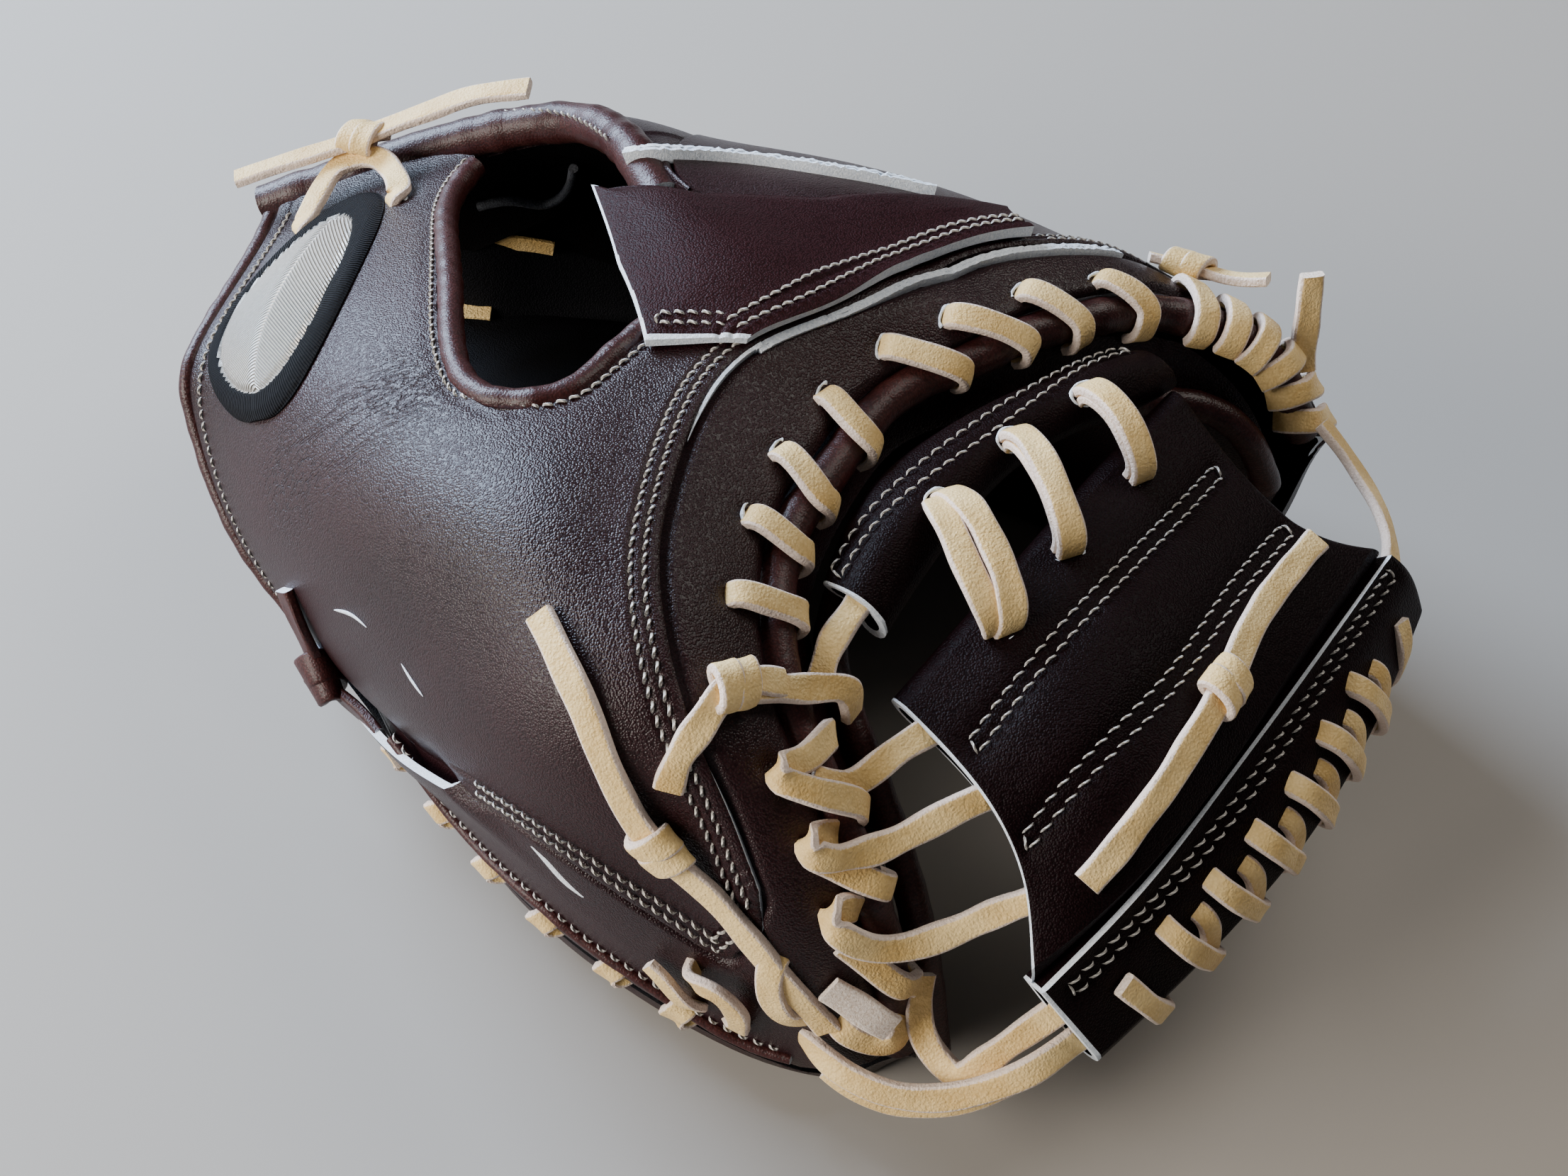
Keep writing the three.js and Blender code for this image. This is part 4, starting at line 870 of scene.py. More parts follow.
# The raw plies of the seam along the rim: one beside the hand back, two beside the flap
rim_plies = (5.6, 6.95, 0.0004, 0.0008), (6.85, 12.2, 0.0006, 0.001), (6.85, 12.2, 0.0018, 0.001)
runs = []
for first, last, shift, wide in rim_plies:
    along = np.linspace(first, last, 90)
    start = seam_side_at(along, rim_out)
    points, normals = run_through(on(back, along, back.share(along, start, -shift), 0.0013))
    rough = 0.00012 * np.random.default_rng(len(runs)).standard_normal((len(points), 1, 1))
    taper = np.clip(np.linspace(0.2, 2.4, len(points)), 0, 1)[:, None, None] if not runs else 1.0
    runs.append((points, normals, (ply_corners * (wide / 2, rim_ply_height / 2) + rough * (0, 1)) * taper))
add_swept("rim_seam_plies", ["hand_back", "finger_back"], runs, [raw_edge_with_painted_light])


# Wrist patch. A plain oval of silver satin stitches, raised in its middle, inside a thick dark
# border of stitches that cross it. It is sewn flat on the wrist strap.

patch_middle, patch_size = np.array((6.75, 0.86)), np.array((0.92, 0.1))
patch_lift, patch_thick, patch_border = 0.0002, 0.0023, 0.24


def satin(name, colour, metallic, roughness, specular):
    """Satin embroidery: a sine of the threads attribute plus noise, as colour and as bump."""
    material, tree = new_material(name, Roughness=roughness, Specular_IOR_Level=specular, Metallic=metallic)
    wave = add_math(tree, "SINE", add_node(tree, "Attribute", attribute_name="threads"))
    noise = add_node(tree, "TexNoise", Vector=add_node(tree, "TexCoord"), Scale=900, Detail=3)
    both = add_math(tree, "ADD", wave, noise)
    tone = add_node(tree, "MapRange", both, -0.7, 1.6)
    colour = blend(tree, tone, np.array(colour) * 0.45, colour)
    link_shader(tree, Base_Color=colour, Normal=add_node(tree, "Bump", Height=both, Distance=0.0004))
    return material


a = np.linspace(-np.pi / 2, np.pi / 2, 110)[:, None]
b = np.linspace(-1, 1, 60)[None, :]
from_middle_along = patch_size[0] * np.sin(a) * 0.98 + 0 * b
from_middle_across = patch_size[1] * (0.12 * b + 0.88 * np.cos(a) * b)
inset = 1 - np.hypot(from_middle_along / patch_size[0], from_middle_across / patch_size[1])
inset = np.maximum(inset, 0) * (np.abs(b) < 1) * (np.abs(np.sin(a)) < 1)
groove = patch_border + 0.02
swell = (
    0.62 * np.sqrt(np.clip(inset / 0.1, 0, 1)) * (inset < groove)
    + (inset >= groove) * (0.55 + 0.45 * np.sqrt(np.clip((inset - patch_border) / 0.35, 0, 1)))
    - 0.4 * ridge(inset, groove, 0.025) - 0.3 * ridge(b + 0 * a, 0, 0.05) * (inset > patch_border)
)
silver_satin = satin("silver_satin", (0.74, 0.69, 0.62), 0.55, 0.4, 0.5)
dark_satin = satin("dark_satin", (0.007, 0.007, 0.009), 0.0, 0.75, 0.12)
spots = on(back, patch_middle[0] + from_middle_along, patch_middle[1] + from_middle_across, patch_lift)
top = spots[..., :3] + spots[..., 3:] * (0.0003 + (patch_thick - 0.0003) * swell)[..., None]
patch = add_sheet("strap_patch_embroidery", ["strap_patch"], top, spots[..., :3],
                  [silver_satin, dark_satin, dark_satin], kinds=inset[:-1, :-1] < patch_border)
border_threads = 4.0 * np.degrees(np.arctan2(from_middle_across, from_middle_along * 0.15))
fill_threads = from_middle_along * 240.0 + np.abs(from_middle_across) * 1400.0
threads = np.where(inset < patch_border, border_threads, fill_threads)
add_attribute(patch, "threads", np.tile(threads.ravel(), 2))


# Web. Three folded strips of leather between thumb and fingers, painted darker than the hide as
# the shade that lies on the web: a narrow one beside the crotch, a wide panel, and an edge strip,
# each sewn through with double rows and open at its ends.

web_half, web_wall, row_apart = 0.0034, 0.0016, 0.0031
row_dent, row_dent_width, web_swell = 0.0006, 0.0032, 0.0007
web_span = 4  # stations from end to end
strip = Sheet([
    [(19, -17, 98), (28, -20, 101), (34, -20, 94)],
    [(15, 6, 102), (27, 3, 107), (34, 7, 99)],
    [(21, 31, 104), (32, 34, 108), (37, 39, 100)],
    [(33, 59, 103), (42, 62, 105), (48, 63, 98)],
    [(41, 79, 99), (48, 79, 99), (53, 80, 95)],
], -1)
panel = Sheet([
    [(42, -29, 88), (68, -37, 83), (84, -45, 70), (91.6, -56.7, 60)],
    [(46, -8, 94), (70, -18, 92), (90, -26, 84), (99.7, -31.3, 70.4)],
    [(49, 16, 97), (72, 6, 96), (94, 0, 88), (104.5, -3, 76.4)],
    [(51, 45, 98), (73, 36, 94), (93, 30, 88), (107.4, 31.1, 79.1)],
    [(54, 75, 98), (73, 66, 91), (94, 62, 84), (109.6, 72.7, 77)],
], -1)
edge = Sheet([
    [(92, -57, 60), (99, -55, 49), (106, -53, 38)],
    [(100, -31, 70), (108, -24, 59), (116, -17, 44)],
    [(105, -3, 76), (115, 6, 66), (121, 15, 49)],
    [(108, 31, 79), (116, 39, 69), (122, 46, 53)],
    [(110, 73, 77), (115, 76, 70), (120, 77, 58)],
], -1)

# The three pieces' columns, and places along the middle of each double row, as parts of the piece's
# length and shares across
web_pieces = [
    ("strip", strip, 30, [[(0.03, 0.24), (0.2, 0.32), (0.4, 0.42), (0.6, 0.37), (0.8, 0.2), (0.95, 0.14)]]),
    ("panel", panel, 80, [[(0.06, 0.25), (0.35, 0.27), (0.65, 0.29), (0.95, 0.317)],
                          [(0.04, 0.526), (0.35, 0.556), (0.65, 0.585), (0.97, 0.614)]]),
    ("edge", edge, 34, [[(0.04, 0.2), (0.35, 0.185), (0.65, 0.172), (0.97, 0.16)]]),
]
# A darker, duller copy of the hide: painted shade for the web, which faces away from the window.
web_hide_painted_shade = leather("web_hide_painted_shade", (0.005, 0.0014, 0.0019), (0.01, 0.0028, 0.0036), 0.44, 2100, 0.00012, 0.2,
                   specular=0.06)


def double_rows(sheet, middles):
    """Both lines of each double row on a web sheet, as stations and shares."""
    lines = []
    for places in middles:
        along, across = spline(places, np.linspace(0, len(places) - 1, 60)).T
        along = web_span * along
        lines += [(along, sheet.share(along, across, side * row_apart / 2)) for side in (-1, 1)]
    return lines


def folded_ring(width, columns, square, inset):
    """Shares and heights round a folded strip, at an inset from its outside: the top, a semicircle,
    the underside, and a semicircle or a square side."""
    half = web_half - inset
    nose = np.linspace(-np.pi / 2, np.pi / 2, 9)[1:-1]
    first = (inset + (0 if square else half)) / width
    last = 1 - (inset + half) / width
    top = first + (last - first) * np.linspace(0, 1, columns)
    outer = last + half / width * np.cos(nose[::-1])
    inner = first - (first - inset / width) * np.cos(nose)
    ones = np.ones(columns)
    height = half * np.concatenate([ones, np.sin(nose[::-1]), -ones, np.sin(nose)])
    return np.concatenate([top, outer, top[:, ::-1], inner], axis=1), height


for name, sheet, columns, middles in web_pieces:
    # The top is pressed in along its rows and swells between them
    square = name == "edge"
    along = web_span * graded(112, 0.3)[:, None]
    width = np.linalg.norm(sheet.at(along, 1.0) - sheet.at(along, 0.0), axis=-1)
    share, height = folded_ring(width, columns, square, 0)
    points = sheet.at(along, share)
    normal = sheet.normal(along, np.clip(share, 0.001, 0.999))
    from_end = np.minimum(along, web_span - along) / web_span * 0.12
    swell = web_swell - 0.0006 * np.exp(-from_end / 0.0006) + 0 * share
    for line in double_rows(sheet, middles):
        from_row = distance_to(points, sheet.at(*line))
        swell -= 0.0005 * ridge(from_row, 0, 0.0007) + row_dent * ridge(from_row, 0, row_dent_width)
    outer_grid = points + normal * (height + swell * (height > 0.98 * web_half))[..., None]
    share, height = folded_ring(width, columns, square, web_wall)
    raw = np.zeros((len(along) - 1, share.shape[1]), bool)
    raw[0] = True
    raw[:, -2:] |= square
    inner_grid = sheet.at(along, share) + normal * height[..., None]
    add_sheet(f"web_{name}_leather", [f"web_{name}"], outer_grid, inner_grid,
              [web_hide_painted_shade, flesh_side_painted_shade, raw_edge_with_painted_light], wrap=True, kinds=2 * raw)


# Lacing. Strips of tan rawhide about 6 mm wide with rounded corners, paler and fuzzy where they were
# cut. Each comes out of a hole, lies on the leather, and bends over the roll.

lace_width, lace_thick = 0.006, 0.0024
lace_lift = lace_thick / 2 + 0.0001
corner_share = 0.28


def rawhide_material():
    """Rawhide: tan with slow patches, pebbles from a Voronoi field, wrinkles from noise stretched
    across the straightened strip, and pale felted fibres where it was cut."""
    material, tree = new_material("rawhide", Roughness=0.55, Sheen_Weight=0.08, Specular_IOR_Level=0.35)
    place = add_node(tree, "TexCoord")
    straight = add_node(tree, "Attribute", out="Vector", attribute_name="straight")
    stretched = add_node(tree, "VectorMath", straight, (700, 220, 220), operation="MULTIPLY")
    wrinkle = add_node(tree, "TexNoise", Vector=stretched, Scale=1, Detail=3, Roughness=0.6)
    pebble = add_node(tree, "TexVoronoi", feature="SMOOTH_F1", Vector=place, Scale=1500, Smoothness=0.5)
    patch = add_node(tree, "TexNoise", Vector=place, Scale=70, Detail=5)
    fibre = add_node(tree, "TexNoise", Vector=place, Scale=2600, Detail=3)
    tone = add_node(tree, "MapRange", add_math(tree, "MULTIPLY_ADD", pebble, -0.22, patch), 0.18, 0.58)
    face = blend(tree, tone, (0.6, 0.385, 0.13), (0.87, 0.635, 0.29))
    ragged = add_math(tree, "MULTIPLY_ADD", fibre, 0.9, add_node(tree, "Attribute", attribute_name="cut"))
    mask = add_node(tree, "MapRange", ragged, 0.8, 1.05)
    pale = blend(tree, fibre, (0.52, 0.38, 0.29), (0.93, 0.8, 0.71))
    gloss = add_node(tree, "MapRange", mask, 0, 1, 0.5, 0.9)
    fine = add_node(tree, "Bump", Height=fibre, Distance=0.00018)
    grain = add_node(tree, "Bump", Height=pebble, Normal=fine, Distance=0.00016, invert=True)
    bump = add_node(tree, "Bump", Height=wrinkle, Normal=grain, Distance=0.00022)
    link_shader(tree, Base_Color=blend(tree, mask, face, pale), Roughness=gloss, Normal=bump)
    return material


rawhide = rawhide_material()
rawhide_cut = raw_leather("rawhide_cut", (0.98, 0.86, 0.76), (0.66, 0.5, 0.38))


def strip_section(width, thick):
    """A strip's section: flat above and below, with rounded corners as quarters of a circle."""
    corner = thick * corner_share
    turn = np.linspace(np.pi / 2, -np.pi / 2, 8)
    side = np.stack([width / 2 - corner + corner * np.cos(turn), np.sin(turn) * thick / 2], axis=1)
    side[2:6, 0] = width / 2
    top = [(x * (width / 2 - corner), thick / 2) for x in np.linspace(-1, 1, 7)[:-1]]
    half = np.concatenate([top, side[:-1]])
    return np.concatenate([half, -half])


# How far each point of the section is on the cut sides, from 0 to 1
lace_corner = lace_thick * corner_share
cut_side = np.abs(strip_section(lace_width, lace_thick)[:, 0]) - (lace_width / 2 - lace_corner * 1.3)
cut_side = np.clip(cut_side / (lace_corner * 1.2), 0, 1)


def lace_run(stops, seed, width=lace_width, thick=lace_thick):
    """A strip through stops whose width wanders, and whose edges curl up with the square of the
    distance from its middle."""
    points, normals = run_through(stops)
    count = len(points)
    section = np.repeat(strip_section(width, thick)[None], count, axis=0)
    section[..., 0] *= 1 + wander(count, seed, count / 14, 0.05)[:, None]
    curl = 0.00025 * wander(count, seed + 500, count / 20, 1.0)
    section[..., 1] += curl[:, None] * (section[..., 0] / (width / 2)) ** 2
    return points, normals, section


def add_laces(node, runs, name=None, materials=(rawhide, rawhide_cut)):
    """One piece of lacing from its runs."""
    piece = add_swept(name or f"{node}_rawhide", [node], runs, materials)
    add_attribute(piece, "cut", np.concatenate([np.tile(cut_side, len(run[0])) for run in runs]))


def over_roll(along, degrees, higher=0.0):
    """A stop on the crotch roll, turned about it from its top (0) towards the web (90 degrees)."""
    middle = on(back, along, 0.0, -roll_drop)
    turn = np.radians(degrees)
    away = unit(middle[3:] * np.cos(turn) + towards_web(along) * np.sin(turn))
    return np.concatenate([middle[:3] + away * (crotch_roll_radius + lace_thick / 2 + 0.0002 + higher), away])


def round_roll(along, *degrees):
    """Stops of a lace that lies round the crotch roll, at a number of degrees from its top."""
    return [over_roll(along, turn) for turn in degrees]


def turned(*row):
    """A stop on the hand back with its normal reversed, where the lace lies on its other face."""
    return stop(*row) * (1, 1, 1, -1, -1, -1)


def left_fold(along, across, lift):
    """A stop where a lace folds back on itself: its normal points away from the web."""
    return np.concatenate([stop(along, across, lift)[:3], -towards_web(along)])


def end_of(sheet, across, *normal):
    """A stop inside the open lower end of a web piece."""
    return np.concatenate([sheet.at(0.12, across), unit(np.array(normal, float))])


def in_hole(surface_stop, lead):
    """Stops of a lace that rises out of a hole at a surface stop and bends off along lead."""
    point, normal = surface_stop[:3], surface_stop[3:]
    run = unit(lead - normal * np.dot(lead, normal))
    return [
        np.concatenate([point - normal * 0.0022, -run]),
        np.concatenate([point + normal * 0.0002 + run * 0.0003, unit(0.6 * normal - run)]),
        np.concatenate([point + normal * (lace_lift + 0.0002) + run * 0.0024, normal]),
    ]


def out_of_rim(along, across, lead):
    """Stops of a lace that comes up through a hole in the rim and runs straight to the lead stop."""
    hole = stop(along, across, rim_height - 0.0003)
    stops = in_hole(hole, lead[:3] - hole[:3])
    stops[-1][:3] += stops[-1][3:] * 0.0005
    return stops


for i, (along, across, over) in enumerate(roll_holes):
    name = f"rim_lace_{i + 1}" if i < 7 else f"tip_lace_{i - 6}"
    stops = [*out_of_rim(along, across, over_roll(over, 10)), *round_roll(over, 12, 50, 88, 125)]
    add_laces(name, [lace_run(stops, 20 + i)])

# The laces round the crotch. Three of them turn back on themselves at a hole in the rim, where they
# stand on edge, and two of those run on straight to the open end of the web panel.
out = (0.42, -0.72, 0.55)
crotch_laces = [
    [[*out_of_rim(3.94, 0.12, over_roll(3.88, 10)), *round_roll(3.87, 12, 50, 88, 125)],
     [(29.7, -37, 95, 0.3, -0.5, 0.8), (27.9, -30.1, 98, 0.3, -0.5, 0.85), (28.3, -22.9, 101, 0.15, -0.4, 1),
      (28.4, -12, 102.4, 0, -0.2, 1)]],
    [[(3.07, 0.125, 0.004), (3.06, 0.056, 0.0052), (33.2, -43.4, 101.4, 0.3, -0.5, 0.8),
      (36.2, -39.6, 99.4, 0.5, -0.4, 0.7), (37.8, -38.0, 96.4, 0.9, -0.1, 0.3), (37.6, -37.6, 90, 1, 0, 0)]],
    [[*(s * (1, 1, 1, -1, -1, -1) for s in round_roll(2.72, 105, 70, 35)), turned(2.52, 0.045, 0.004),
      turned(2.44, 0.095, 0.0036), left_fold(2.375, 0.135, 0.0042), left_fold(2.325, 0.14, 0.0048),
      (2.25, 0.112, 0.0056), (2.19, 0.062, 0.0064), over_roll(2.17, 22, 0.001), over_roll(2.14, 60, 0.0004),
      over_roll(2.12, 100)]],
    [[(2.34, 0.05, 0.0024), over_roll(2.31, 16), (49, -41.5, 88, 0.3, -0.5, 0.8),
      end_of(panel, 0.13, 0.3, -0.5, 0.8)]],
    [[turned(1.9, 0.042, 0.001), turned(1.87, 0.085, 0.003), left_fold(1.8, 0.122, 0.0042),
      left_fold(1.735, 0.126, 0.0048), (49.8, -65.6, 82.2, *out), (52.4, -61.4, 80.4, *out),
      (57.3, -54, 79.6, *out), (64.6, -43, 82.4, *out), end_of(panel, 0.357, *out)],
     [(1.66, 0.1, 0.0016), (1.6, 0.05, 0.0024), *round_roll(1.55, 15, 50, 88, 125)]],
    [[turned(1.3, 0.046, 0.001), turned(1.3, 0.082, 0.003), left_fold(1.265, 0.117, 0.0042),
      left_fold(1.2, 0.123, 0.0048), (56.4, -71.6, 68.0, *out), (61.3, -67.9, 62.6, *out),
      (67.4, -61.6, 60.4, *out), (73.3, -55.2, 61.8, *out), (78.9, -49.3, 65.6, *out),
      end_of(panel, 0.714, *out)],
     [(1.0, 0.1, 0.0016), (0.87, 0.06, 0.0026), *round_roll(0.74, 12, 48), *round_roll(0.66, 84, 120)]],
]
for i, strands in enumerate(crotch_laces):
    add_laces(f"crotch_lace_{i + 1}", [lace_run(stops, 40 + 7 * i + k) for k, stops in enumerate(strands)])

# Web loops: for each its hole in the strip and in the panel, its arch, and the shift of its two
# strands to the sides and in height. A strand is half an ellipse from hole to hole.
web_loops = [
    ((0.29, 0.62), (0.3, 0.13), 0.0075, ((-0.0036, 0.0), (0.003, 0.001))),
    ((0.48, 0.62), (0.54, 0.13), 0.0085, ((0.0, 0.0011), (0.0, -0.0011))),
    ((0.67, 0.58), (0.78, 0.13), 0.0075, ((0.0, 0.0011), (0.0, -0.0011))),
]
loop_width, loop_thick = 0.0062, 0.0021
ring_stops = []
turn = np.radians((-14, 12, 40, 70, 100, 130, 158, 192))[:, None]
for i, (start, end, arch, strands) in enumerate(web_loops):
    up = on(strip, web_span * start[0], start[1], web_half + 0.0005)
    down = on(panel, web_span * end[0], end[1], web_half + 0.0005)
    run = down[:3] - up[:3]
    ahead, half_run = unit(run), np.linalg.norm(run) / 2
    beside_run = unit(np.cross((0, 0, 1), run))
    over_run = np.cross(ahead, beside_run)
    runs = []
    for k, (side_shift, lift) in enumerate(strands):
        wide, high = half_run + lift, arch + lift
        points = (up[:3] + down[:3]) / 2 - ahead * wide * np.cos(turn) + over_run * high * np.sin(turn)
        points = points + beside_run * side_shift * (0.3 + 0.7 * np.sin(turn))
        out = unit(-ahead * np.cos(turn) / wide + over_run * np.sin(turn) / high)
        runs.append(lace_run(np.concatenate([points, out], axis=1), 50 + 2 * i + k, loop_width, loop_thick))
    add_laces(f"web_loop_{i + 1}", runs)
    ring_stops += [(up, run), (down, -run)]


def add_hole_edges(name, nodes, places, wide, long, span=None):
    """Raw leather round punched holes: ellipses on the surface, or a span of them in degrees, wide
    across the lace and of uneven radius."""
    turn = np.radians(np.linspace(*(span or (0, 360)), 29))[:, None]
    turn = turn if span else turn[:-1]
    runs = []
    for k, (lace_stop, run) in enumerate(places):
        point, normal = lace_stop[:3], lace_stop[3:]
        ahead = unit(run - normal * np.dot(run, normal))
        across = np.cross(normal, ahead)
        path = point + normal * -0.0004 + across * wide * np.cos(turn) + ahead * long * np.sin(turn)
        uneven = 1 + 0.3 * np.sin(3 * turn + k) + 0.15 * np.sin(7 * turn + 2 * k)
        section = round_section(0.0004, 8, 1.1) * uneven[:, :, None]
        runs.append((path, np.broadcast_to(normal, path.shape), section))
    add_swept(name, nodes, runs, [raw_edge_with_painted_light], not span)


add_hole_edges("web_hole_edges", ["web_panel", "web_strip"], ring_stops, 0.0038, 0.0026)
rim_spots = [(stop(a, b, rim_height), towards_web(a)) for a, b, _ in roll_holes]
add_hole_edges("rim_hole_edges", ["rim_panel"], rim_spots, 0.0031, 0.0015, (190, 350))

add_laces("tip_tail", [lace_run([
    (73, 114, 84, 0.5, -0.6, 0.5), (71, 116, 93, 0.6, -0.6, 0.4), (69, 118, 109, 0.6, -0.7, 0.2),
], 60)])
add_laces("edge_tie", [lace_run([
    (82.5, 106, 78, 0.5, 0.3, 0.8), (90, 103.5, 74, 0.5, 0.4, 0.8), (99, 97, 72, 0.5, 0.4, 0.8),
    (106, 89, 72, 0.6, 0.5, 0.6), (111.5, 79, 73, 0.8, 0.3, 0.6), (113, 73.5, 73, 0.8, 0.2, 0.6),
], 61)])
outer_loop = [
    (0.45, 0.5, lace_lift), (60.8, -80, 32.3, 0, -0.9, 0.45), (70.3, -79, 30.9, 0.1, -0.9, 0.45),
    (80, -75, 30.8, 0.2, -0.9, 0.45), (89.8, -70, 35.8, 0.3, -0.8, 0.45), (97.9, -64, 43, 0.4, -0.7, 0.45),
    end_of(edge, 0.75, 0.5, -0.6, 0.45),
]
third_loop = [
    (58.5, -79.5, 29, 0, -0.9, 0.2), (66, -79, 25.6, 0.1, -0.9, 0.2), (76, -75.4, 24.8, 0.2, -0.9, 0.2),
    (86, -70.5, 28.6, 0.3, -0.8, 0.3), (94, -65, 36, 0.4, -0.7, 0.4),
]
add_laces("lower_loop_outer", [lace_run(outer_loop, 62), lace_run(third_loop, 65)])
add_laces("lower_loop_inner", [lace_run([
    (68, -58, 45, 0.8, -0.6, 0.2), (70.9, -63.6, 37.5, 0.7, -0.7, 0.3), (76.3, -66, 31.7, 0.3, -0.8, 0.5),
    (82.6, -67, 30.3, 0.2, -0.8, 0.5), (87.5, -64, 36.8, 0.3, -0.7, 0.5), end_of(edge, 0.4, 0.4, -0.6, 0.5),
], 63)])

# Short bends of lace in the holes at the thumb tip, and a scrap of suede under the long tail's end
tip_bends = [
    [(0.96, 0.285, -0.001), (0.93, 0.33, 0.0028), (0.8, 0.4, 0.0036), (0.62, 0.42, 0.003),
     (0.5, 0.38, 0.0006), (0.46, 0.34, -0.0012)],
    [(0.38, 0.27, -0.0012), (0.33, 0.24, 0.0024), (0.22, 0.16, 0.0036), (0.26, 0.07, 0.005),
     (67.5, -65, 38, 0.8, -0.3, 0.3)],
]
add_laces("thumb_knot", [lace_run(stops, 66 + k) for k, stops in enumerate(tip_bends)], "tip_bends_rawhide")
add_swept("suede_scrap", ["thumb_knot"], [lace_run([
    (0.66, 0.2, 0.003), (0.56, 0.15, 0.0044), (0.47, 0.1, 0.0062), (0.42, 0.065, 0.0066),
], 69, 0.0066, 0.0014)], [rawhide_cut])

lead = np.array((0.5, 1, 0.3))
add_laces("wrist_lace", [lace_run([
    *in_hole(stop(7.55, 0.93, 0.0), lead), (-165, 44, 93, -0.3, -0.6, 1), (-157, 50, 96, -0.2, -0.7, 1),
    (-150, 48, 96.5, 0, -0.6, 1), *in_hole(stop(7.5, 0.79, 0.0), lead)[::-1],
], 64)])


# Winding laces. One lace winds round the web's outer edge, and others sew up the thumb's and the
# fingers' edges, each going up through a hole, out over the edge and back below to the next.

winding_width = 0.0052


def winding(sheet, stations, probe, holes, shoulder, lifts, reach, leans=(0.05, 0.2, 0.35)):
    """Stops of a lace that winds round a sheet's edge between stations: up at a hole, over the
    shoulder, round the edge at a reach, and back below to the next hole, at lifts above and below.
    leans are how far on, in turns, it is at the shoulder, the edge and the underside."""
    stops, pitch = [], stations[1] - stations[0]
    for here, hole in zip(stations[:-1], holes):
        outwards = unit(sheet.at(here, 1.0) - sheet.at(here, probe))
        top, bottom = on(sheet, here, hole, lifts[0]), on(sheet, here + pitch, hole, lifts[1])
        normal = top[3:]
        turn = [
            (top[:3], unit(normal - outwards)),
            (on(sheet, here + leans[0] * pitch, shoulder, lifts[0])[:3], normal),
            (sheet.at(here + leans[1] * pitch, 1.0) + outwards * reach, outwards),
            (on(sheet, here + leans[2] * pitch, shoulder, lifts[1])[:3], -normal),
            (bottom[:3], unit(-normal - outwards)),
        ]
        stops += [np.concatenate(pair) for pair in turn]
    return stops


def web_winding(start, end, hole, shoulder, higher, **leans):
    """Stops of seven turns round the web's outer edge between parts of its length."""
    lift = web_half + lace_lift + 0.0005 + higher
    stations = web_span * np.linspace(start, end, 8)
    reach = lace_lift + 0.0006 + higher
    return winding(edge, stations, 0.9, [hole] * 7, shoulder, (lift, -lift), reach, **leans)


def edge_lacing(turns, start, end):
    """Stops of a lace that sews up the back's edge, with its holes 8 mm inside the edge."""
    stations = np.linspace(start, end, turns + 1)
    stretch = np.linalg.norm(back.at(stations, 1.0) - back.at(stations, 0.95), axis=-1)
    lifts = (lace_lift + 0.0002, -leather_thick - lace_lift)
    return winding(back, stations, 0.95, 1 - 0.05 * 0.008 / stretch, 1, lifts, lace_lift + 0.0009)


add_laces("edge_spiral", [
    lace_run(web_winding(0.1, 0.86, 0.45, 0.88, 0.0007), 70, winding_width),
    lace_run(web_winding(0.914, 0.154, 0.56, 0.84, -0.0009, leans=(0.26, 0.44, 0.5)), 73, 0.0046),
])
# The thumb's lace ends in a loop and a frayed stub beside the tip
last_loop = [
    (1.36, 0.62, -0.001), (1.32, 0.6, 0.004), (1.2, 0.545, 0.0062), (1.02, 0.555, 0.0056),
    (0.92, 0.66, 0.004), (0.9, 0.76, 0.0016), (0.92, 0.84, -0.001),
]
stub = [(1.56, 0.69, 0.003), (1.42, 0.7, 0.0036), (1.26, 0.74, 0.0034), (1.16, 0.79, 0.001)]
add_laces("thumb_edge_lace", [
    lace_run(edge_lacing(6, 3.26, 0.8), 71),
    lace_run(last_loop, 74, winding_width), lace_run(stub, 75, 0.0042, 0.0022),
])
add_laces("finger_edge_lace", [lace_run(edge_lacing(7, 11.2, 14.3), 72, winding_width)])


# Knots. Each is a strand with two wraps of the same lace pulled tight round it, over which it shows
# as a thick band, and its loose tails lie on the leather.


def wrap_run(knot, heading, seed, radii=(0.0042, 0.0026), pitch=0.0042, breadth=0.0056):
    """A strip wound round a strand: a flattened helix whose ends draw in to the strand."""
    turns = 1.9
    axis = unit(np.asarray(heading, float))
    across = unit(np.cross(axis, knot[3:]))
    up = np.cross(across, axis)
    t = np.linspace(0, 1, 26)[:, None]
    turn = -np.pi / 2 + 2 * np.pi * turns * t
    away = across * np.cos(turn) * radii[0] + up * np.sin(turn) * radii[1]
    points = knot[:3] + away * (1 - 0.35 * (2 * t - 1) ** 8) + axis * pitch * turns * (t - 0.5)
    return lace_run(np.concatenate([points, unit(away)], axis=1), seed, breadth, 0.0021)


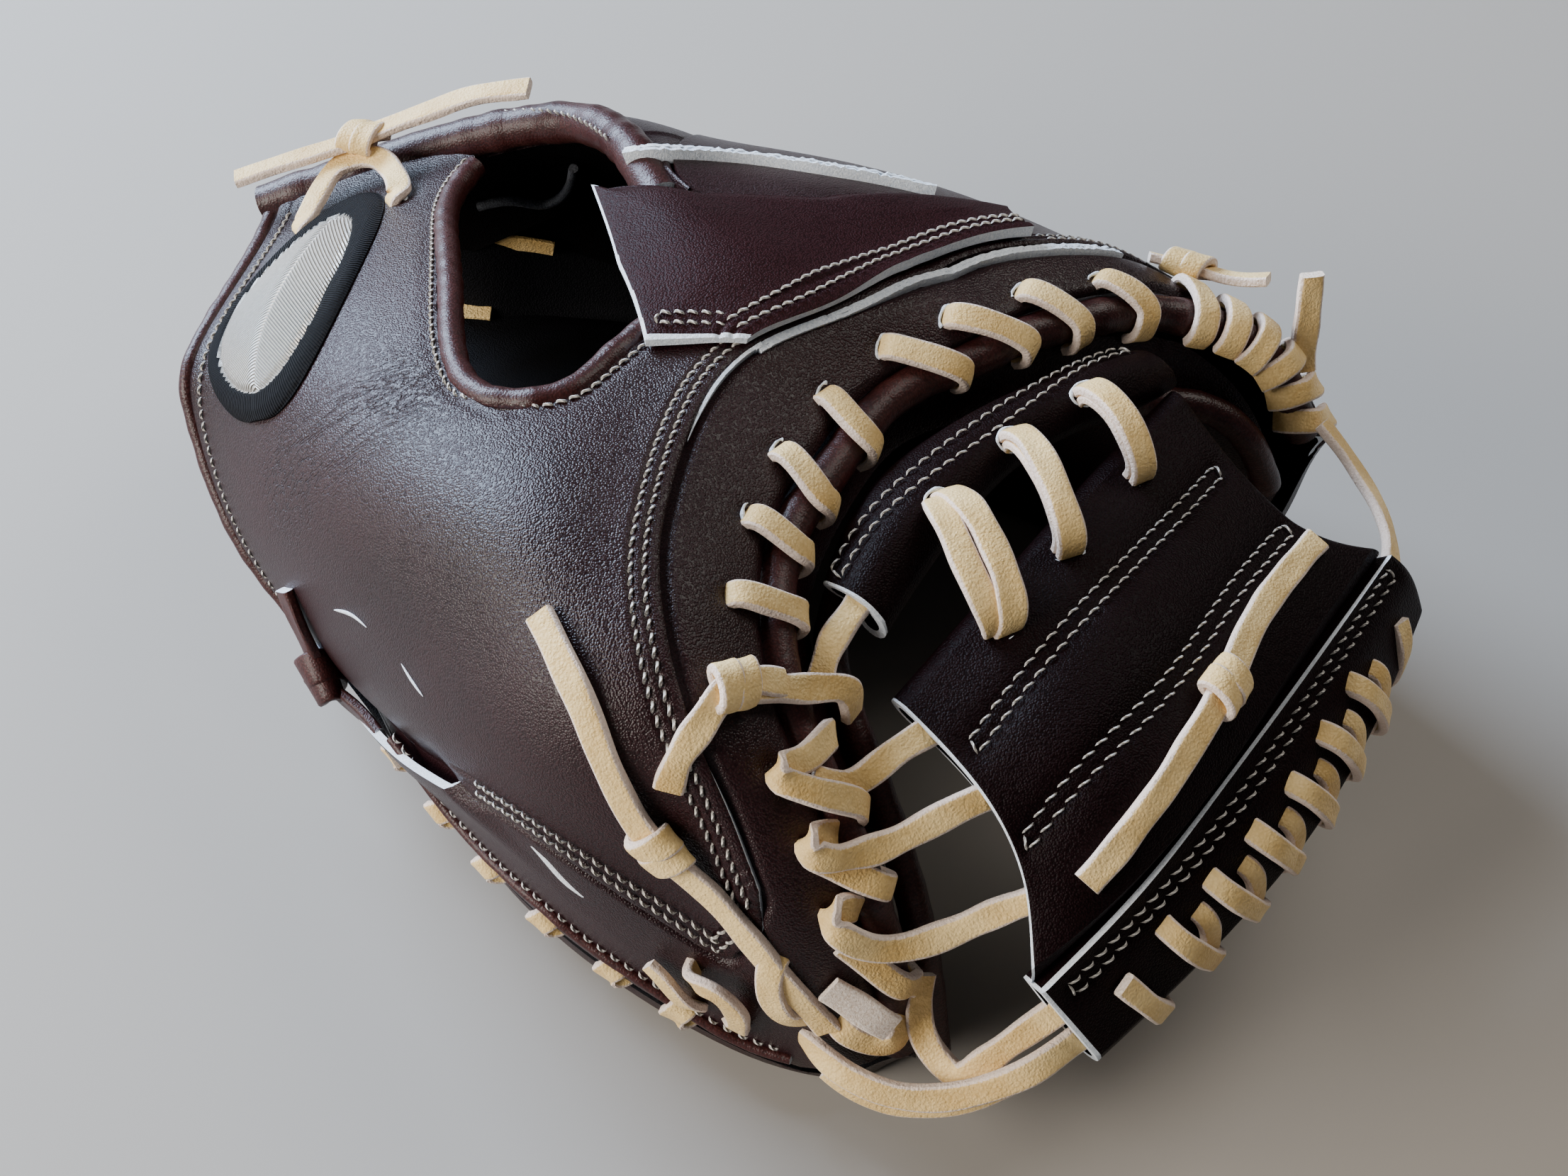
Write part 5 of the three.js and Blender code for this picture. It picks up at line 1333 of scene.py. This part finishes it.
# For each its knot, the heading there, and the stops of its strand before and after the knot
web_top = web_half + lace_lift + 0.0006
knots = {
    "thumb_knot": (
        stop(2.08, 0.42, 0.0036), back.at(1.6, 0.38) - back.at(2.5, 0.44),
        [(4.0, 0.44, lace_lift), (3.3, 0.418, lace_lift + 0.0004), (2.6, 0.43, lace_lift + 0.0008)],
        [(1.55, 0.375, lace_lift + 0.0014), (0.95, 0.335, lace_lift + 0.001),
         (0.36, 0.31, lace_lift + 0.0006)],
    ),
    "crotch_knot": (
        stop(3.08, 0.17, rim_height + 0.0036), back.at(3.08, 0.1) - back.at(3.0, 0.2),
        [(3.1, 0.06, crotch_roll_radius + lace_lift)],
        [(2.86, 0.24, 0.0034 + lace_lift), (2.64, 0.3, 0.0012 + lace_lift), (2.42, 0.35, lace_lift)],
    ),
    "web_knot": (
        on(panel, 2.24, 0.7, web_half + 0.004), panel.at(2.8, 0.7) - panel.at(1.6, 0.7),
        [on(panel, 0.56, 0.8, web_top), on(panel, 1.2, 0.76, web_top),
         on(panel, 1.76, 0.72, web_top + 0.0006)],
        [on(panel, 2.8, 0.7, web_top + 0.0006), on(panel, 3.4, 0.71, web_top),
         on(panel, 3.88, 0.72, web_top)],
    ),
    "wrist_knot": (
        stop(-162, 52, 99, -0.2, -0.2, 1), (1, 0.2, 0.1),
        [(-187, 29.6, 90.2, -0.3, -0.2, 1), (-176, 40, 94, -0.3, -0.2, 1)],
        [(-140, 67, 110, 0, -0.2, 1), (-124, 74.6, 114.6, 0, -0.2, 1)],
    ),
    "tip_knot": (
        stop(40, 115, 101, -0.2, 0.5, 0.8), (1, 0.1, 0),
        [(31, 112, 102, -0.3, 0.5, 0.8)],
        [(49, 116, 101, -0.1, 0.4, 0.9), (59, 118, 103, 0.1, 0.4, 0.9)],
    ),
}
for i, (name, (knot, heading, before, after)) in enumerate(knots.items()):
    add_laces(name, [lace_run([*before, knot, *after], 80 + 2 * i), wrap_run(knot, heading, 81 + 2 * i)])

knot = stop(3.92, 0.965, 0.0034)
thong = [
    (4.62, 0.91, lace_lift), (4.34, 0.92, lace_lift + 0.0005), knot,
    (3.62, 0.955, lace_lift + 0.0006), (3.4, 0.935, lace_lift),
]
thong_width = 0.008
thong_wraps = wrap_run(knot, (1, -0.4, -0.6), 91, (0.0058, 0.0034), 0.005, thong_width)
add_laces("edge_thong", [lace_run(thong, 90, thong_width), thong_wraps], "edge_thong_leather",
          [roll_hide, raw_edge_with_painted_light])


# Stitching. Pale waxed thread of two twisted strands, in stitches of about 3 mm, a little slanted,
# whose ends dive into the leather. The rows are single or double, and those of the web end square.

thread_radius, stitch_slant, stitch_lift = 0.00035, 0.0003, 0.0002
thread_twist = 3600  # radians of twist in a metre


def thread_material():
    """Twisted thread: a sine of the distance along it plus the angle round it, as tone and bump."""
    material, tree = new_material("thread", Roughness=0.6, Sheen_Weight=0.15)
    place = add_node(tree, "Attribute", out="Vector", attribute_name="straight")
    along, side, up = add_node(tree, "SeparateXYZ", place).node.outputs
    run = add_math(tree, "MULTIPLY_ADD", along, thread_twist, add_math(tree, "ARCTAN2", up, side))
    wave = add_math(tree, "SINE", run)
    colour = blend(tree, add_node(tree, "MapRange", wave, -1, 1), (0.32, 0.3, 0.27), (0.74, 0.7, 0.64))
    link_shader(tree, Base_Color=colour, Normal=add_node(tree, "Bump", Height=wave, Distance=0.00025))
    return material


thread = thread_material()


def add_stitches(name, rows, pitch=0.0029, stitch_length=0.0027, radius=thread_radius):
    """Stitches along rows of stops: pentagonal tubes of seven rings, whose radius goes with
    sqrt(1 - t^6), which cross the row at a slant and whose ends dive with t^4."""
    t = np.linspace(-1, 1, 7)
    stitches = []
    for row in rows:
        path = np.concatenate(run_through(row), axis=1)
        length = path_length(path[:, :3])
        count = max(int(length[-1] / pitch), 1)
        middles = (np.arange(count) + 0.5) * length[-1] / count
        places = middles[:, None] + t * stitch_length / 2
        stitches.append(np.stack([np.interp(places, length, column) for column in path.T], axis=-1))
    points, ups = np.split(np.concatenate(stitches), 2, axis=-1)
    ahead = unit(points[:, -1:] - points[:, :1])
    side = unit(np.cross(ahead, ups))
    up = np.cross(side, ahead)
    dive, slant = 0.00035 - 0.0008 * t**4, stitch_slant * np.sin(t * np.pi / 2)
    middle = points + up * dive[:, None] + side * slant[:, None]
    ring = round_section(1.0, 5)
    away = side[:, :, None] * ring[:, :1] + up[:, :, None] * ring[:, 1:]
    grid = middle[:, :, None] + away * (radius * np.sqrt(1.02 - t**6))[:, None, None]
    firsts = 35 * np.arange(len(points))[:, None]
    quads = (tube_faces(7, 5)[None] + firsts[:, :, None]).reshape(-1, 4)
    caps = np.concatenate([np.arange(5)[::-1] + firsts, np.arange(30, 35) + firsts])
    faces = quads.tolist() + caps.tolist()
    piece = add_piece(name, [], grid.reshape(-1, 3), faces, [thread], np.zeros(len(faces)))
    strand = np.column_stack([np.repeat(t * stitch_length / 2, 5), np.tile(ring * radius, (7, 1))])
    add_attribute(piece, "straight", np.tile(strand, (len(points), 1)))


def off_seam(along, distance, lift):
    """Stops along the panels' seam at a distance inside it."""
    return on(back, along, back.share(along, seam_side_at(along, rim_out), distance), lift)


sewn_part = thumb_seam[(thumb_seam[:, 0] > 0.285) & (thumb_seam[:, 0] < 0.712)][::12]
rows = []
for row in seam_rows:
    lift = seam_lift * ridge(row, 0, seam_width) - 0.0002
    rows.append(off_seam(np.linspace(seam_end - 0.1, 6.9, 60), row, lift))
    rows.append(off_seam(np.linspace(11.5, 14.7, 40), row, lift))
    flap_side = flap_places(np.linspace(0.0, 0.99, 60), np.zeros(60))
    rows.append(on(back, *beside(*flap_side, row), flap_top + lift + 0.0001))
    thumb_side = beside(sewn_part[:, 1], sewn_part[:, 0], -row)
    rows.append(on(back, *thumb_side, 0.0004 + 0.4 * seam_lift * ridge(row, 0, 0.005)))

# The short row beside the flap's cut edge goes out, round its end, and back
t = np.linspace(0.06, 0.86, 14)
out_line, back_line, end_line = (
    np.stack(beside(*flap_places(0 * part, part), -distance), axis=1)
    for part, distance in ((t, 0.0038), (t, 0.0066), (t[-3:] + 0.03, 0.0052))
)
rows.append(on(back, *np.concatenate([out_line, end_line[-1:], back_line[::-1]]).T, flap_top + 0.0003))
add_stitches("seam_stitches", rows)

rows = []
for name, sheet, columns, middles in web_pieces:
    lines = double_rows(sheet, middles)
    rows += [on(sheet, *line, web_half + stitch_lift) for line in lines]
    for (along, low), (_, high) in zip(lines[::2], lines[1::2]):
        for end in (0, -1):
            rows.append(on(sheet, along[end], np.linspace(low[end], high[end], 4), web_half + stitch_lift))
add_stitches("web_stitches", rows, 0.0038, 0.0031, 0.00027)

along = np.linspace(4.4, 7.85, 40)
width = np.linalg.norm(back.at(along, edge_across) - back.at(along, edge_across - 0.05), axis=-1)
picked = np.concatenate([opening[150:20:-5, [0, 2]], opening[8:110:5, [0, 1]]])
outwards = np.where(np.arange(len(picked)) < 26, 1, -1)
add_stitches("strap_stitches", [
    on(back, along, edge_across - 0.05 * edge_row / width, -0.0002),
    on(back, picked[:, 0], back.share(*picked.T, outwards * opening_row), -0.0003),
    on(back, 8.72, np.linspace(0.62, 0.8, 12), 0.0012),
])
thumb_row = on(back, *beside(*thumb_roll[::2].T, 0.0026), 0.0006)
add_stitches("thumb_edge_stitches", [thumb_row], pitch=0.0036)


# Small pale marks in the leather, where its flesh shows: two lace holes at the strap's end, slots
# cut in the hand back beside the thong, the gap beside the thumb's rows, and things seen inside.


def mark_run(places, lift, width, thick):
    """A lens on the hand back: an ellipse whose size is the root of the sine of the way along."""
    points, normals = run_through([(*place, lift) for place in places], 0.0004)
    size = np.sqrt(np.sin(np.pi * np.clip(np.linspace(0, 1, len(points)), 0.01, 0.99)))
    return points, normals, round_section(1.0, 10) * (width / 2, thick / 2) * size[:, None, None]


add_swept("pale_marks", ["hand_back"], [
    mark_run([(7.63, 0.925), (7.72, 0.941)], 0.0, 0.0019, 0.0005),
    mark_run([(7.51, 0.772), (7.58, 0.788)], 0.0, 0.0019, 0.0005),
    mark_run([(4.46, 0.792), (4.408, 0.75), (4.307, 0.726)], 0.0001, 0.001, 0.0005),
    mark_run([(3.992, 0.679), (3.849, 0.673), (3.72, 0.667)], 0.0001, 0.001, 0.0005),
    mark_run([(2.66, 0.68), (2.377, 0.678), (2.197, 0.684), (1.93, 0.671)], 0.0002, 0.0026, 0.0007),
], [raw_edge_with_painted_light])

grey_cord = leather("grey_cord", (0.1, 0.105, 0.12), (0.16, 0.165, 0.18), 0.6, 2000, 0.0001, 0.5)
cord_places = [(9.66, 0.9), (9.73, 0.88), (9.87, 0.872), (9.85, 0.85), (9.59, 0.81)]
cord = run_through([(*place, -0.0088) for place in cord_places])
add_swept("inner_cord", ["heel_side"], [(*cord, round_section(0.0013, 12))], [grey_cord])
add_swept("inner_laces", ["finger_back", "palm_pad"], [
    lace_run([(10.1, 0.945, -0.005), (10.24, 0.935, -0.005), (10.38, 0.93, -0.005)], 92, 0.0055, 0.0014),
    lace_run([(-159, 75, 25.6, 0.1, -0.2, 1), (-151, 79.6, 25.0, 0.1, -0.2, 1)], 93, 0.005, 0.0014),
], [rawhide, rawhide_cut])
